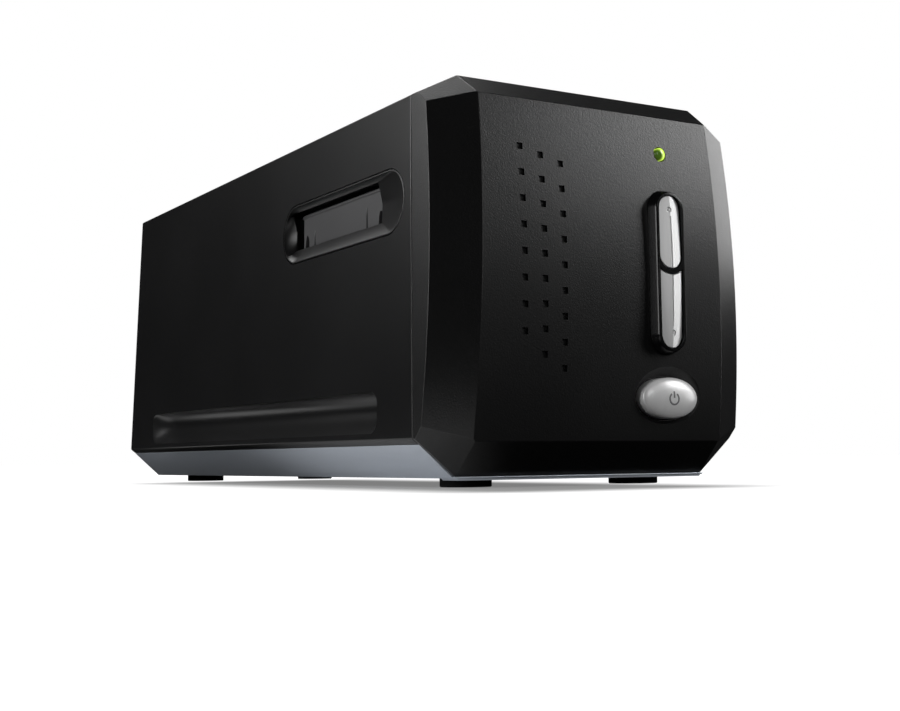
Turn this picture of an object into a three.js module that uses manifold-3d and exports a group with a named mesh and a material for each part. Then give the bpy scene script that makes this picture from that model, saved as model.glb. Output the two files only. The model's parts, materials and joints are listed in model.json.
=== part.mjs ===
// Film negative scanner, in millimetres. X runs to the right, Y to the rear and Z up.
// The origin is on the table, under the middle of the object.
import * as THREE from "three";
import { mergeVertices } from "three/addons/utils/BufferGeometryUtils.js";
import Module from "manifold-3d";

const wasm = await Module();
wasm.setup();

// Clearances and the reach of a cutting tool past the face that it cuts
const seamGap = 0.15;
const runningGap = 0.3;
const overrun = 5;
const farReach = 400;
const roundSides = 20;
const smallSides = 12;

// Cross-section of the housing: half-widths and heights, upwards from the feet
const sideLowHalf = 58.7;
const roofZ = 120.8;
const footHeight = 2.8;
const footRadius = 7.9;
const trayRimZ = 12.6;
const bezelFloorZ = 3.3;
const sideLowZ = 14.2;

// Places across, as shares of the half-width, and places up, as shares of the height
const acrossShares = {
  trayFlat: 0.78,
  trayRim: 0.966,
  bezelFloor: 0.777,
  lowerCornerFace: 0.765,
  upperCornerFace: 0.726,
  sideHigh: 0.946,
  roof: 0.748,
  statusLight: 0.388,
  collar: 0.381,
  power: 0.403,
  keyBoardLeft: 0.145,
  keyBoardRight: 0.635,
  slotInner: 0.843,
  door: 0.875,
  frontFoot: 0.543,
  rearFoot: 0.458,
  chassis: 0.698,
  chassisStand: 0.511,
  guide: 0.838,
  guideWindow: 0.324,
  plunger: 0.579,
  lamp: 0.409,
  rods: 0.562,
  mirrorRib: 0.239,
  sensorBoard: 0.426,
  sensorChip: 0.324,
  mainBoard: 0.773,
  lowScrews: 0.874,
  highScrews: 0.75,
};
const upShares = {
  sideHigh: 0.952,
  topFaceEdge: 0.945,
  upperCornerSide: 0.918,
  faceMiddle: 0.518,
  statusLight: 0.844,
  collarTop: 0.739,
  collarBottom: 0.3335,
  keySplit: 0.5445,
  power: 0.2175,
  slotMiddle: 0.7055,
  optics: 0.414,
  mainBoardTop: 0.546,
  usb: 0.248,
  inlet: 0.43,
  highScrews: 0.87,
};
const sideHighZ = roofZ * upShares.sideHigh;
const sideHighHalf = sideLowHalf * acrossShares.sideHigh;
const roofHalf = sideLowHalf * acrossShares.roof;
const trayFlatHalf = sideLowHalf * acrossShares.trayFlat;
const trayRimHalf = sideLowHalf * acrossShares.trayRim;
const bezelFloorHalf = sideLowHalf * acrossShares.bezelFloor;
const wall = 2.4;
const trayWall = 2.2;

// Side view of the housing
const seamLowY = -118.4;
const seamHighY = -113.7;
const rearLowY = 137.8;
const rearHighY = 133.2;
const rearRoofRadius = 4;
const rearLipDepth = 7;
const rearLipDrop = 5;
const rearPanelRecess = 1.2;
const faceY = -133.5;
const faceMiddleZ = roofZ * upShares.faceMiddle;
const faceArcRadius = 336;

// Front frame: the flat edges round the bulged face
const bandDepth = 7.5;
const faceInset = 13.2;
const topEdgeY = -120.2;
const topFaceEdgeZ = roofZ * upShares.topFaceEdge;
const topFaceEdgeY = -129.2;
const floorEdgeY = -120.1;
const floorFaceEdgeZ = 13.25;
const floorFaceEdgeY = -129.9;
const upperCornerSideZ = roofZ * upShares.upperCornerSide;
const upperCornerSideY = -122.7;
const lowerCornerSideZ = 16.8;
const lowerCornerSideY = -122.2;
const upperCornerFaceHalf = sideLowHalf * acrossShares.upperCornerFace;
const lowerCornerFaceHalf = sideLowHalf * acrossShares.lowerCornerFace;
const trayLipY = -120.9;

// Square dimples of the face: one entry for each column, read from the top
const dimpleSize = 2.2;
const dimpleDepth = 1.1;
const dimpleShares = [
  { x: -0.503, topZ: 0.8195, pitch: 0.06403, count: 8 },
  { x: -0.3835, topZ: 0.803, pitch: 0.06071, count: 9 },
  { x: -0.2645, topZ: 0.7865, pitch: 0.06263, count: 9 },
];
const dimpleColumns = dimpleShares.map((share) => ({
  x: share.x * sideLowHalf,
  topZ: share.topZ * roofZ,
  pitch: share.pitch * roofZ,
  count: share.count,
}));

// Scan buttons in their raised collar
const collar = {
  x: sideLowHalf * acrossShares.collar,
  baseHalf: 6.25,
  rimHalf: 5.25,
  topZ: roofZ * upShares.collarTop,
  bottomZ: roofZ * upShares.collarBottom,
  proud: 3.5,
  neckDepth: 5,
  barThickness: 1.5,
};
const scanButton = {
  half: 4.05,
  split: roofZ * upShares.keySplit,
  edgeProud: 2.4,
  ridgeProud: 3.3,
  depth: 7,
  stemRadius: 1.5,
  travel: 0.8,
};

// Power button in its oval well
const power = {
  x: sideLowHalf * acrossShares.power,
  z: roofZ * upShares.power,
  wellHalfWidth: 12.7,
  wellHalfHeight: 8.8,
  wellDepth: 2,
  capHalfWidth: 10.6,
  capHalfHeight: 6.3,
  edgeProud: 0.9,
  crown: 2,
  depth: 5,
  stemRadius: 2,
  travel: 1.2,
};

// Status light
const statusLight = {
  x: sideLowHalf * acrossShares.statusLight,
  z: roofZ * upShares.statusLight,
  radius: 2,
  holeRadius: 2.4,
  dome: 0.7,
};

// Switches and their board behind the face
const keyBoardMargin = 4;
const postShares = [
  { x: 0.195, z: 0.32 },
  { x: 0.578, z: 0.487 },
  { x: 0.195, z: 0.77 },
];
const keyBoard = {
  frontY: -120.4,
  thickness: 1.6,
  left: sideLowHalf * acrossShares.keyBoardLeft,
  right: sideLowHalf * acrossShares.keyBoardRight,
  bottomZ: power.z - power.wellHalfHeight - keyBoardMargin,
  topZ: statusLight.z + keyBoardMargin,
  switchHalf: 3,
  switchDepth: 3.2,
  postRadius: 2.2,
  posts: postShares.map((share) => ({ x: share.x * sideLowHalf, z: share.z * roofZ })),
};

// Film slots on both sides
const slotHeight = 20.05;
const slotMiddleZ = roofZ * upShares.slotMiddle;
const slotOpening = { rise: 0.9, height: 13.45 };
const slot = {
  frontY: -110.7,
  rearY: -23.7,
  bottomZ: slotMiddleZ - slotHeight / 2,
  topZ: slotMiddleZ + slotHeight / 2,
  rim: 0.8,
  openFrontY: -94.8,
  openRearY: -30.9,
  openBottomZ: slotMiddleZ + slotOpening.rise - slotOpening.height / 2,
  openTopZ: slotMiddleZ + slotOpening.rise + slotOpening.height / 2,
  dishDepth: 3.6,
  innerHalf: sideLowHalf * acrossShares.slotInner,
  dishMiddleDepthShare: 0.72,
  dishMiddleOutlineShare: 0.4,
};

// Dust doors
const doorAxisDrop = 1.2;
const door = {
  x: sideLowHalf * acrossShares.door,
  axisZ: slot.openTopZ - doorAxisDrop,
  thickness: 1.4,
  barrelRadius: 0.9,
  pinRadius: 0.6,
  pinLength: 1.5,
  pinGap: 0.15,
  endGap: 0.4,
  ribHeight: 0.5,
  ribWidth: 0.6,
  ribInset: 10.5,
  notchInset: 4.4,
  notchHalf: 1.5,
  notchHeight: 2.6,
};

// Long grip hollow low on each side
const grip = {
  frontY: -96.2,
  rearY: 108.6,
  bottomZ: 16.2,
  topZ: 28.7,
  depth: 3.8,
  cornerRadius: 4,
  slopeShare: 0.35,
};

// Feet
const foot = {
  frontX: sideLowHalf * acrossShares.frontFoot,
  frontY: -103,
  rearX: sideLowHalf * acrossShares.rearFoot,
  rearY: 129.4,
  plugRadius: 3,
  plugHeight: 1.4,
};

// Chassis that carries the rods, the film guides and the motor
const chassis = {
  halfWidth: sideLowHalf * acrossShares.chassis,
  floorZ: 8,
  plate: 2.5,
  endWall: 3,
  frontY: -110,
  rearY: 112,
  frontWallTopZ: 36,
  rearWallTopZ: 58,
  cheekThickness: 2.5,
  cheekFrontY: -97.5,
  cheekRearY: -30,
  standRadius: 4,
  standX: sideLowHalf * acrossShares.chassisStand,
  standFrontY: -84,
  standRearY: 96,
};
const screw = { shankRadius: 1.5, headRadius: 3, headHeight: 1.8, grip: 8, driveRadius: 1.1, driveDepth: 1 };

// Film guides above the chassis
const guide = {
  halfLength: sideLowHalf * acrossShares.guide,
  plate: 2.3,
  rail: 1.8,
  windowHalfX: sideLowHalf * acrossShares.guideWindow,
  windowHalfY: 13,
  windowY: -63.75,
};
const plunger = {
  x: sideLowHalf * acrossShares.plunger,
  y: -40,
  radius: 2,
  collarRadius: 3.2,
  collarHeight: 1.2,
  dip: 1.4,
  length: 9,
};

// Light source
const lampHeadroom = 5.6;
const lamp = {
  halfX: sideLowHalf * acrossShares.lamp,
  frontY: -86,
  rearY: -42,
  topZ: roofZ - wall - lampHeadroom,
  wall: 1.8,
  boardThickness: 1.6,
  boardDrop: 3,
  diffuserThickness: 2,
  diffuserRise: 1.2,
};

// Carriage and its optics
const rods = { x: sideLowHalf * acrossShares.rods, z: 24, radius: 3, bushHalf: 5, bushLength: 18, bushGap: 0.2 };
const carriage = {
  frontY: -74,
  rearY: 84,
  plate: 2.5,
  mirrorRibThickness: 2.4,
  mirrorRibX: sideLowHalf * acrossShares.mirrorRib,
  nutFrontY: 34,
  nutLength: 14,
};
const sensorBoardRise = 16;
const opticsZ = roofZ * upShares.optics;
const optics = {
  z: opticsZ,
  mirrorY: -50.75,
  mirrorLength: 40,
  mirrorWidth: 34,
  mirrorThickness: 2,
  lensFrontRadius: 11,
  lensRadius: 9.5,
  lensBackRadius: 8.5,
  lensGlassRadius: 7,
  lensGlassDip: 1.6,
  lensFrontY: 6,
  lensRearY: 34,
  lensRing: 5,
  saddleHalf: 13,
  saddleFrontY: 13,
  saddleRearY: 28,
  clampMargin: 3,
  clampThickness: 1.6,
  boardY: 79,
  boardThickness: 1.6,
  boardHalfX: sideLowHalf * acrossShares.sensorBoard,
  boardTopZ: opticsZ + sensorBoardRise,
  chipHalfX: sideLowHalf * acrossShares.sensorChip,
  chipHalfZ: 4.5,
  chipDepth: 3.5,
};

// Drive: the lead screw turns through a pair of spur gears
const drive = {
  x: 0,
  screwRadius: 3,
  journalRadius: 2,
  journalGap: 0.15,
  module: 0.8,
  gearTeeth: 36,
  pinionTeeth: 12,
  gearWidth: 5,
  gearStandoff: 2,
  centreGap: 0.15,
  backlash: 0.3,
  addendumShare: 0.85,
  dedendumShare: 1.15,
  motorRadius: 14,
  motorLength: 18,
  motorFlange: 2,
  motorFlangeHalf: 18,
  motorShaftRadius: 1.2,
};
const pressureAngle = (20 * Math.PI) / 180;

// Electronics
const board = {
  x: sideLowHalf * acrossShares.mainBoard,
  thickness: 1.6,
  frontY: 14,
  rearY: 122,
  bottomZ: 18,
  topZ: roofZ * upShares.mainBoardTop,
  tab: 10,
  tabInset: 8,
};
const usbHalfX = 6.3;
const usb = {
  x: board.x - usbHalfX,
  z: roofZ * upShares.usb,
  halfX: usbHalfX,
  halfZ: 5.5,
  openHalfX: 4.6,
  openHalfZ: 4.2,
  depth: 17,
  openDepth: 9,
  proud: 1,
};
const inletHalf = 5.5;
const inlet = {
  x: board.x - inletHalf,
  z: roofZ * upShares.inlet,
  half: inletHalf,
  holeRadius: 3.2,
  depth: 14,
  openDepth: 9,
  proud: 1,
  pinRadius: 1,
};
const rearScrews = {
  lowX: sideLowHalf * acrossShares.lowScrews,
  lowZ: 20.5,
  highX: sideLowHalf * acrossShares.highScrews,
  highZ: roofZ * upShares.highScrews,
  bossRadius: 4,
  bossLength: 16,
};
const homeSensor = { x: -16, y: 98, half: 4, length: 9, height: 7, slotHalf: 1.2, slotDepth: 4 };

// Colours and finishes
const finishes = {
  black: new THREE.MeshStandardMaterial({ color: 0x17181a, roughness: 0.55, metalness: 0 }),
  gloss: new THREE.MeshStandardMaterial({ color: 0x0d0d0e, roughness: 0.2, metalness: 0 }),
  silver: new THREE.MeshStandardMaterial({ color: 0x9aa3ad, roughness: 0.4, metalness: 0.6 }),
  button: new THREE.MeshStandardMaterial({ color: 0xc8c8c8, roughness: 0.35, metalness: 0.7 }),
  rubber: new THREE.MeshStandardMaterial({ color: 0x101010, roughness: 0.9, metalness: 0 }),
  lens: new THREE.MeshStandardMaterial({ color: 0x9dc21a, roughness: 0.2, metalness: 0 }),
  steel: new THREE.MeshStandardMaterial({ color: 0xb8babd, roughness: 0.3, metalness: 1 }),
  brass: new THREE.MeshStandardMaterial({ color: 0xb89b4a, roughness: 0.35, metalness: 1 }),
  glass: new THREE.MeshStandardMaterial({ color: 0xcfe0e8, roughness: 0.05, metalness: 0 }),
  circuit: new THREE.MeshStandardMaterial({ color: 0x1f5a36, roughness: 0.5, metalness: 0 }),
  white: new THREE.MeshStandardMaterial({ color: 0xe6e6e2, roughness: 0.5, metalness: 0 }),
  grey: new THREE.MeshStandardMaterial({ color: 0x3a3d40, roughness: 0.5, metalness: 0 }),
};

// Solids from three.js geometries

function solid(geometry) {
  const bare = geometry.index ? geometry.toNonIndexed() : geometry;
  bare.deleteAttribute("normal");
  bare.deleteAttribute("uv");
  const merged = mergeVertices(bare, seamGap / farReach);
  const vertProperties = new Float32Array(merged.attributes.position.array);
  const triVerts = new Uint32Array(merged.index.array);
  const form = new wasm.Manifold(new wasm.Mesh({ numProp: 3, vertProperties, triVerts }));
  if (form.volume() > 0) return form;
  return new wasm.Manifold(new wasm.Mesh({ numProp: 3, vertProperties, triVerts: triVerts.reverse() }));
}

function geometryOf(form) {
  const mesh = form.getMesh();
  const geometry = new THREE.BufferGeometry();
  geometry.setAttribute("position", new THREE.BufferAttribute(new Float32Array(mesh.vertProperties), 3));
  geometry.setIndex(new THREE.BufferAttribute(new Uint32Array(mesh.triVerts), 1));
  geometry.computeVertexNormals();
  return geometry;
}

function join(first, ...others) {
  return others.reduce((sum, other) => sum.add(other), first);
}

function cut(first, ...others) {
  return others.reduce((rest, other) => rest.subtract(other), first);
}

function box(x0, x1, y0, y1, z0, z1) {
  const geometry = new THREE.BoxGeometry(x1 - x0, y1 - y0, z1 - z0);
  geometry.translate((x0 + x1) / 2, (y0 + y1) / 2, (z0 + z1) / 2);
  return solid(geometry);
}

// Maps a prism's own axes onto the part's: outline across, outline up, then length
const frames = {
  x: [[0, 1, 0], [0, 0, 1], [1, 0, 0]],
  y: [[-1, 0, 0], [0, 0, 1], [0, 1, 0]],
  z: [[1, 0, 0], [0, 1, 0], [0, 0, 1]],
};

function place(geometry, axis) {
  const [across, up, along] = frames[axis].map((row) => new THREE.Vector3(...row));
  return geometry.applyMatrix4(new THREE.Matrix4().makeBasis(across, up, along));
}

// A prism along an axis. The outline's points are [y, z] along x, [x, z] along y and [x, y] along z.
function prism(axis, points, from, to) {
  const turned = axis === "y" ? points.map(([x, z]) => [-x, z]) : points;
  const shape = new THREE.Shape(turned.map(([across, up]) => new THREE.Vector2(across, up)));
  const geometry = new THREE.ExtrudeGeometry(shape, { depth: to - from, bevelEnabled: false, steps: 1 });
  geometry.translate(0, 0, from);
  return solid(place(geometry, axis));
}

function regularOutline(across, up, radius, sides) {
  return arc(across, up, radius, radius, 0, 2 * Math.PI, sides).slice(1);
}

function rod(axis, across, up, radius, from, to, sides = roundSides) {
  return prism(axis, regularOutline(across, up, radius, sides), from, to);
}

function arc(across, up, radiusAcross, radiusUp, start, end, steps) {
  return Array.from({ length: steps + 1 }, (_, index) => {
    const angle = start + ((end - start) * index) / steps;
    return [across + radiusAcross * Math.cos(angle), up + radiusUp * Math.sin(angle)];
  });
}

// An upright slot with round ends
function pill(x, bottomZ, topZ, half, steps = 10) {
  return [
    ...arc(x, topZ - half, half, half, 0, Math.PI, steps),
    ...arc(x, bottomZ + half, half, half, Math.PI, 2 * Math.PI, steps),
  ];
}

// A solid through a row of sections that have the same number of points
function loft(sections) {
  const count = sections[0].length;
  const positions = sections.flat(2);
  const index = [];
  for (let row = 0; row + 1 < sections.length; row += 1) {
    for (let point = 0; point < count; point += 1) {
      const next = (point + 1) % count;
      const a = row * count + point;
      const b = row * count + next;
      index.push(a, b, b + count, a, b + count, a + count);
    }
  }
  const last = (sections.length - 1) * count;
  for (let point = 1; point + 1 < count; point += 1) {
    index.push(0, point + 1, point);
    index.push(last, last + point, last + point + 1);
  }
  const geometry = new THREE.BufferGeometry();
  geometry.setAttribute("position", new THREE.BufferAttribute(new Float32Array(positions), 3));
  geometry.setIndex(index);
  return solid(geometry);
}

// Moves each side of an outline inwards by the same distance. The points run anticlockwise.
function inset(points, distance) {
  const sides = points.map((from, index) => {
    const to = points[(index + 1) % points.length];
    const length = Math.hypot(to[0] - from[0], to[1] - from[1]);
    const normal = [-(to[1] - from[1]) / length, (to[0] - from[0]) / length];
    return { normal, reach: normal[0] * from[0] + normal[1] * from[1] + distance };
  });
  return sides.map((side, index) => {
    const before = sides[(index + sides.length - 1) % sides.length];
    const across = before.normal[0] * side.normal[1] - before.normal[1] * side.normal[0];
    return [
      (before.reach * side.normal[1] - side.reach * before.normal[1]) / across,
      (before.normal[0] * side.reach - side.normal[0] * before.reach) / across,
    ];
  });
}

function mirrored(points) {
  return points.map(([across, up]) => [-across, up]).reverse();
}

// Takes away what lies past the plane through three points, on the side away from the origin
function trimBeyond(form, corners, distance) {
  const [first, second, third] = corners.map((corner) => new THREE.Vector3(...corner));
  const plane = new THREE.Plane().setFromCoplanarPoints(first, second, third);
  if (plane.constant > 0) plane.negate();
  const geometry = new THREE.BoxGeometry(farReach, farReach, farReach);
  geometry.translate(0, 0, farReach / 2 - distance);
  const turn = new THREE.Quaternion().setFromUnitVectors(new THREE.Vector3(0, 0, 1), plane.normal);
  geometry.applyQuaternion(turn);
  geometry.translate(first.x, first.y, first.z);
  return form.subtract(solid(geometry));
}

// Shape of the housing

function sideHalfAt(z) {
  const rise = (z - sideLowZ) / (sideHighZ - sideLowZ);
  return sideLowHalf + (sideHighHalf - sideLowHalf) * rise;
}

function seamYAt(z) {
  return seamLowY + ((seamHighY - seamLowY) * (z - sideLowZ)) / (sideHighZ - sideLowZ);
}

function rearYAt(z) {
  return rearLowY + ((rearHighY - rearLowY) * (z - sideLowZ)) / (sideHighZ - sideLowZ);
}

function faceYAt(z) {
  return faceY + faceArcRadius - Math.sqrt(faceArcRadius ** 2 - (z - faceMiddleZ) ** 2);
}

function housingProfile(floorHalf, floorZ) {
  const right = [
    [floorHalf, floorZ],
    [sideLowHalf, sideLowZ],
    [sideHighHalf, sideHighZ],
    [roofHalf, roofZ],
  ];
  return [...right, ...mirrored(right)];
}

const bezelProfile = housingProfile(bezelFloorHalf, bezelFloorZ);
const shellProfile = housingProfile(trayRimHalf, trayRimZ);

function bossAt(x, z, radius, fromY, toY) {
  return rod("y", x, z, radius, fromY, toY);
}

// Front bezel

// The bulged, tapering plan of the front, as a loft of outlines upwards
function frontLoft(distance, backY) {
  const steps = 14;
  const lowZ = bezelFloorZ - overrun;
  const highZ = roofZ + overrun;
  const sections = Array.from({ length: steps + 1 }, (_, index) => {
    const z = lowZ + ((highZ - lowZ) * index) / steps;
    const half = sideHalfAt(z);
    const front = faceYAt(z);
    const outline = inset(
      [
        [half, backY + distance],
        [-half, backY + distance],
        [-half, front + bandDepth],
        [-half + faceInset, front],
        [half - faceInset, front],
        [half, front + bandDepth],
      ],
      distance,
    );
    return outline.map(([x, y]) => [x, y, z]);
  });
  return loft(sections);
}

// The bezel's outside, moved inwards by a distance and reaching back past the seam by another
function bezelForm(distance, reach) {
  const sideView = inset(
    [
      [seamYAt(bezelFloorZ), bezelFloorZ],
      [seamYAt(roofZ), roofZ],
      [topEdgeY, roofZ],
      [topFaceEdgeY, topFaceEdgeZ],
      [faceY - overrun, topFaceEdgeZ - overrun],
      [faceY - overrun, floorFaceEdgeZ + overrun],
      [floorFaceEdgeY, floorFaceEdgeZ],
      [floorEdgeY, bezelFloorZ],
    ],
    distance,
  ).map(([y, z], index) => [index < 2 ? y + distance + reach : y, z]);
  let form = prism("y", inset(bezelProfile, distance), faceY - overrun, seamHighY + overrun + reach)
    .intersect(prism("x", sideView, -sideLowHalf - overrun, sideLowHalf + overrun))
    .intersect(frontLoft(distance, seamHighY + overrun + reach));
  for (const side of [-1, 1]) {
    const upper = [
      [side * roofHalf, topEdgeY, roofZ],
      [side * upperCornerFaceHalf, topFaceEdgeY, topFaceEdgeZ],
      [side * sideHalfAt(upperCornerSideZ), upperCornerSideY, upperCornerSideZ],
    ];
    const lower = [
      [side * bezelFloorHalf, floorEdgeY, bezelFloorZ],
      [side * lowerCornerFaceHalf, floorFaceEdgeY, floorFaceEdgeZ],
      [side * sideHalfAt(lowerCornerSideZ), lowerCornerSideY, lowerCornerSideZ],
    ];
    form = trimBeyond(trimBeyond(form, upper, distance), lower, distance);
  }
  return form;
}

function dimples() {
  return dimpleColumns.flatMap(({ x, topZ, pitch, count }) =>
    Array.from({ length: count }, (_, index) => {
      const z = topZ - index * pitch;
      const half = dimpleSize / 2;
      return box(x - half, x + half, faceY - overrun, faceYAt(z) + dimpleDepth, z - half, z + half);
    }),
  );
}

function ellipse(x, z, halfWidth, halfHeight, steps = 28) {
  return arc(x, z, halfWidth, halfHeight, 0, 2 * Math.PI, steps).slice(1);
}

// Sets an outline of [x, z] points upright at one place along Y
function upright(y, outline) {
  return outline.map(([x, z]) => [x, y, z]);
}

function powerWell() {
  const faceAtWell = faceYAt(power.z);
  const slope = (power.wellHalfWidth - power.capHalfWidth - runningGap) / power.wellDepth;
  const sections = [
    [faceAtWell - overrun, overrun * slope],
    [faceAtWell + power.wellDepth, -power.wellDepth * slope],
  ].map(([y, spread]) =>
    upright(y, ellipse(power.x, power.z, power.wellHalfWidth + spread, power.wellHalfHeight + spread)),
  );
  const bore = ellipse(power.x, power.z, power.capHalfWidth + runningGap, power.capHalfHeight + runningGap);
  return [loft(sections), prism("y", bore, faceY - overrun, faceY + overrun + wall * 2)];
}

const collarBackY = faceY + collar.neckDepth;
const collarNeckHalf = collar.rimHalf;

function frontBezel() {
  const hollow = bezelForm(wall, overrun);
  const openings = [
    ...dimples(),
    ...powerWell(),
    prism(
      "y",
      pill(collar.x, collar.bottomZ - runningGap, collar.topZ + runningGap, collarNeckHalf + runningGap),
      faceY - overrun,
      collarBackY + overrun,
    ),
    rod("y", statusLight.x, statusLight.z, statusLight.holeRadius, faceY - overrun, collarBackY + overrun),
  ];
  const backing = ellipse(power.x, power.z, power.wellHalfWidth + seamGap, power.wellHalfHeight + seamGap);
  const wellFace = faceYAt(power.z);
  const wellBacking = prism("y", backing, wellFace + wall / 2, wellFace + power.wellDepth + wall);
  const posts = keyBoard.posts.map(({ x, z }) =>
    bossAt(x, z, keyBoard.postRadius, faceYAt(z) + wall / 2, keyBoard.frontY),
  );
  return cut(join(cut(bezelForm(0, 0), hollow), wellBacking, ...posts), ...openings);
}

// Body shell

// The side view of the shell, moved inwards by a distance, with a round upper rear edge
function shellSideView(distance, frontReach) {
  const top = roofZ - distance;
  const radius = Math.max(rearRoofRadius - distance, wall / 2);
  const rearTop = rearYAt(top) - distance;
  return [
    [seamYAt(trayRimZ - overrun) + seamGap - frontReach, trayRimZ - overrun],
    [rearYAt(trayRimZ - overrun) - distance, trayRimZ - overrun],
    ...arc(rearTop - radius, top - radius, radius, radius, 0, Math.PI / 2, 5),
    [seamYAt(top) + seamGap - frontReach, top],
  ];
}

// The shell's outline moved inwards, with straight sides down to an open floor
function openProfile(distance, floorZ) {
  const right = inset(shellProfile, distance).slice(0, 4);
  const half = [[right[0][0], floorZ], ...right];
  return [...half, ...mirrored(half)];
}

// The hollow runs through to the rear, where a lip along the roof narrows it
function shellHollow() {
  const open = openProfile(wall, trayRimZ - overrun * 2);
  const lipY = rearHighY - rearLipDepth;
  const sideView = [
    [seamLowY - overrun, trayRimZ - overrun * 2],
    [rearLowY + overrun, trayRimZ - overrun * 2],
    [rearLowY + overrun, roofZ - wall - rearLipDrop],
    [lipY, roofZ - wall - rearLipDrop],
    [lipY, roofZ],
    [seamLowY - overrun, roofZ],
  ];
  const reach = sideLowHalf + overrun;
  const tunnel = prism("y", open, seamLowY - overrun, rearLowY + overrun);
  return tunnel.intersect(prism("x", sideView, -reach, reach));
}

function slotOutline(margin) {
  const half = (slot.topZ - slot.bottomZ) / 2 + margin;
  const middleZ = (slot.topZ + slot.bottomZ) / 2;
  const reach = half - margin;
  return [
    ...arc(slot.rearY - reach, middleZ, half, half, -Math.PI / 2, Math.PI / 2, 12),
    ...arc(slot.frontY + reach, middleZ, half, half, Math.PI / 2, (3 * Math.PI) / 2, 12),
  ];
}

// The hollow of the grip: steep under its upper edge and running out to its lower edge
function gripTool(side, grow) {
  const face = (z) => sideHalfAt(z);
  const deepZ = grip.topZ - (grip.topZ - grip.bottomZ) * grip.slopeShare;
  const section = [
    [face(grip.topZ) + overrun, grip.topZ + grow],
    [face(grip.topZ) - grow, grip.topZ + grow],
    [face(deepZ) - grip.depth - grow, deepZ + grow],
    [face(deepZ) - grip.depth - grow, deepZ - grip.cornerRadius / 2],
    [face(grip.bottomZ) - grow, grip.bottomZ - grow],
    [face(grip.bottomZ) + overrun, grip.bottomZ - grow],
  ].map(([x, z]) => [side * x, z]);
  const radius = grip.cornerRadius + grow;
  const front = grip.frontY - grow;
  const rear = grip.rearY + grow;
  const low = grip.bottomZ - grow;
  const high = grip.topZ + grow;
  const outline = [
    ...arc(rear - radius, low + radius, radius, radius, -Math.PI / 2, 0, 5),
    ...arc(rear - radius, high - radius, radius, radius, 0, Math.PI / 2, 5),
    ...arc(front + radius, high - radius, radius, radius, Math.PI / 2, Math.PI, 5),
    ...arc(front + radius, low + radius, radius, radius, Math.PI, (3 * Math.PI) / 2, 5),
  ];
  const inner = side * (sideHighHalf - grip.depth * 2 - grow);
  const outer = side * (sideLowHalf + overrun * 2);
  const window = prism("x", outline, Math.min(inner, outer), Math.max(inner, outer));
  return prism("y", section, front - overrun, rear + overrun).intersect(window);
}

const rearPanelBackY = rearYAt(roofZ) - rearPanelRecess;
const rearPanelFrontY = rearPanelBackY - wall;
const rearPlaces = [
  { x: -rearScrews.highX, z: rearScrews.highZ },
  { x: rearScrews.highX, z: rearScrews.highZ },
  { x: -rearScrews.lowX, z: rearScrews.lowZ },
  { x: rearScrews.lowX, z: rearScrews.lowZ },
];

// A boss for a rear screw, joined to the side wall by a web
function rearBoss({ x, z }) {
  const side = Math.sign(x);
  const from = rearPanelFrontY - rearScrews.bossLength;
  const edge = side * (sideHalfAt(z) - wall / 2);
  const web = box(Math.min(x, edge), Math.max(x, edge), from, rearPanelFrontY, z - wall / 2, z + wall / 2);
  return cut(
    join(bossAt(x, z, rearScrews.bossRadius, from, rearPanelFrontY), web),
    bossAt(x, z, screw.shankRadius + seamGap, rearPanelFrontY - screw.grip - runningGap, rearPanelFrontY + overrun),
  );
}

function bodyShell() {
  const reach = sideLowHalf + overrun;
  const outer = prism("y", shellProfile, seamLowY - overrun, rearLowY + overrun).intersect(
    prism("x", shellSideView(0, 0), -reach, reach),
  );
  const backing = [-1, 1].map((side) => gripTool(side, wall));
  const hollow = cut(shellHollow(), ...backing);
  const slots = prism("x", slotOutline(seamGap), -reach, reach);
  const grips = [-1, 1].map((side) => gripTool(side, 0));
  return join(cut(outer, hollow, slots, ...grips), ...rearPlaces.map(rearBoss));
}

function rearPanel() {
  const lipZ = roofZ - wall - rearLipDrop - seamGap;
  const outline = openProfile(wall + seamGap, trayRimZ).map(([x, z]) => [x, Math.min(z, lipZ)]);
  const plate = prism("y", outline, rearPanelFrontY, rearPanelBackY);
  const holes = rearPlaces.map(({ x, z }) =>
    bossAt(x, z, screw.shankRadius + runningGap, rearPanelFrontY - overrun, rearPanelBackY + overrun),
  );
  const sockets = [
    [usb.x, usb.z, usb.halfX + runningGap, usb.halfZ + runningGap],
    [inlet.x, inlet.z, inlet.half + runningGap, inlet.half + runningGap],
  ].map(([x, z, halfX, halfZ]) =>
    box(x - halfX, x + halfX, rearPanelFrontY - overrun, rearPanelBackY + overrun, z - halfZ, z + halfZ),
  );
  return cut(plate, ...holes, ...sockets);
}

// Base tray

const trayFloorZ = footHeight + trayWall;
const chassisStands = [-1, 1].flatMap((side) =>
  [chassis.standFrontY, chassis.standRearY].map((y) => ({ x: side * chassis.standX, y })),
);
const footPlaces = {
  front_left: { x: -foot.frontX, y: foot.frontY },
  front_right: { x: foot.frontX, y: foot.frontY },
  rear_left: { x: -foot.rearX, y: foot.rearY },
  rear_right: { x: foot.rearX, y: foot.rearY },
};

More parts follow.
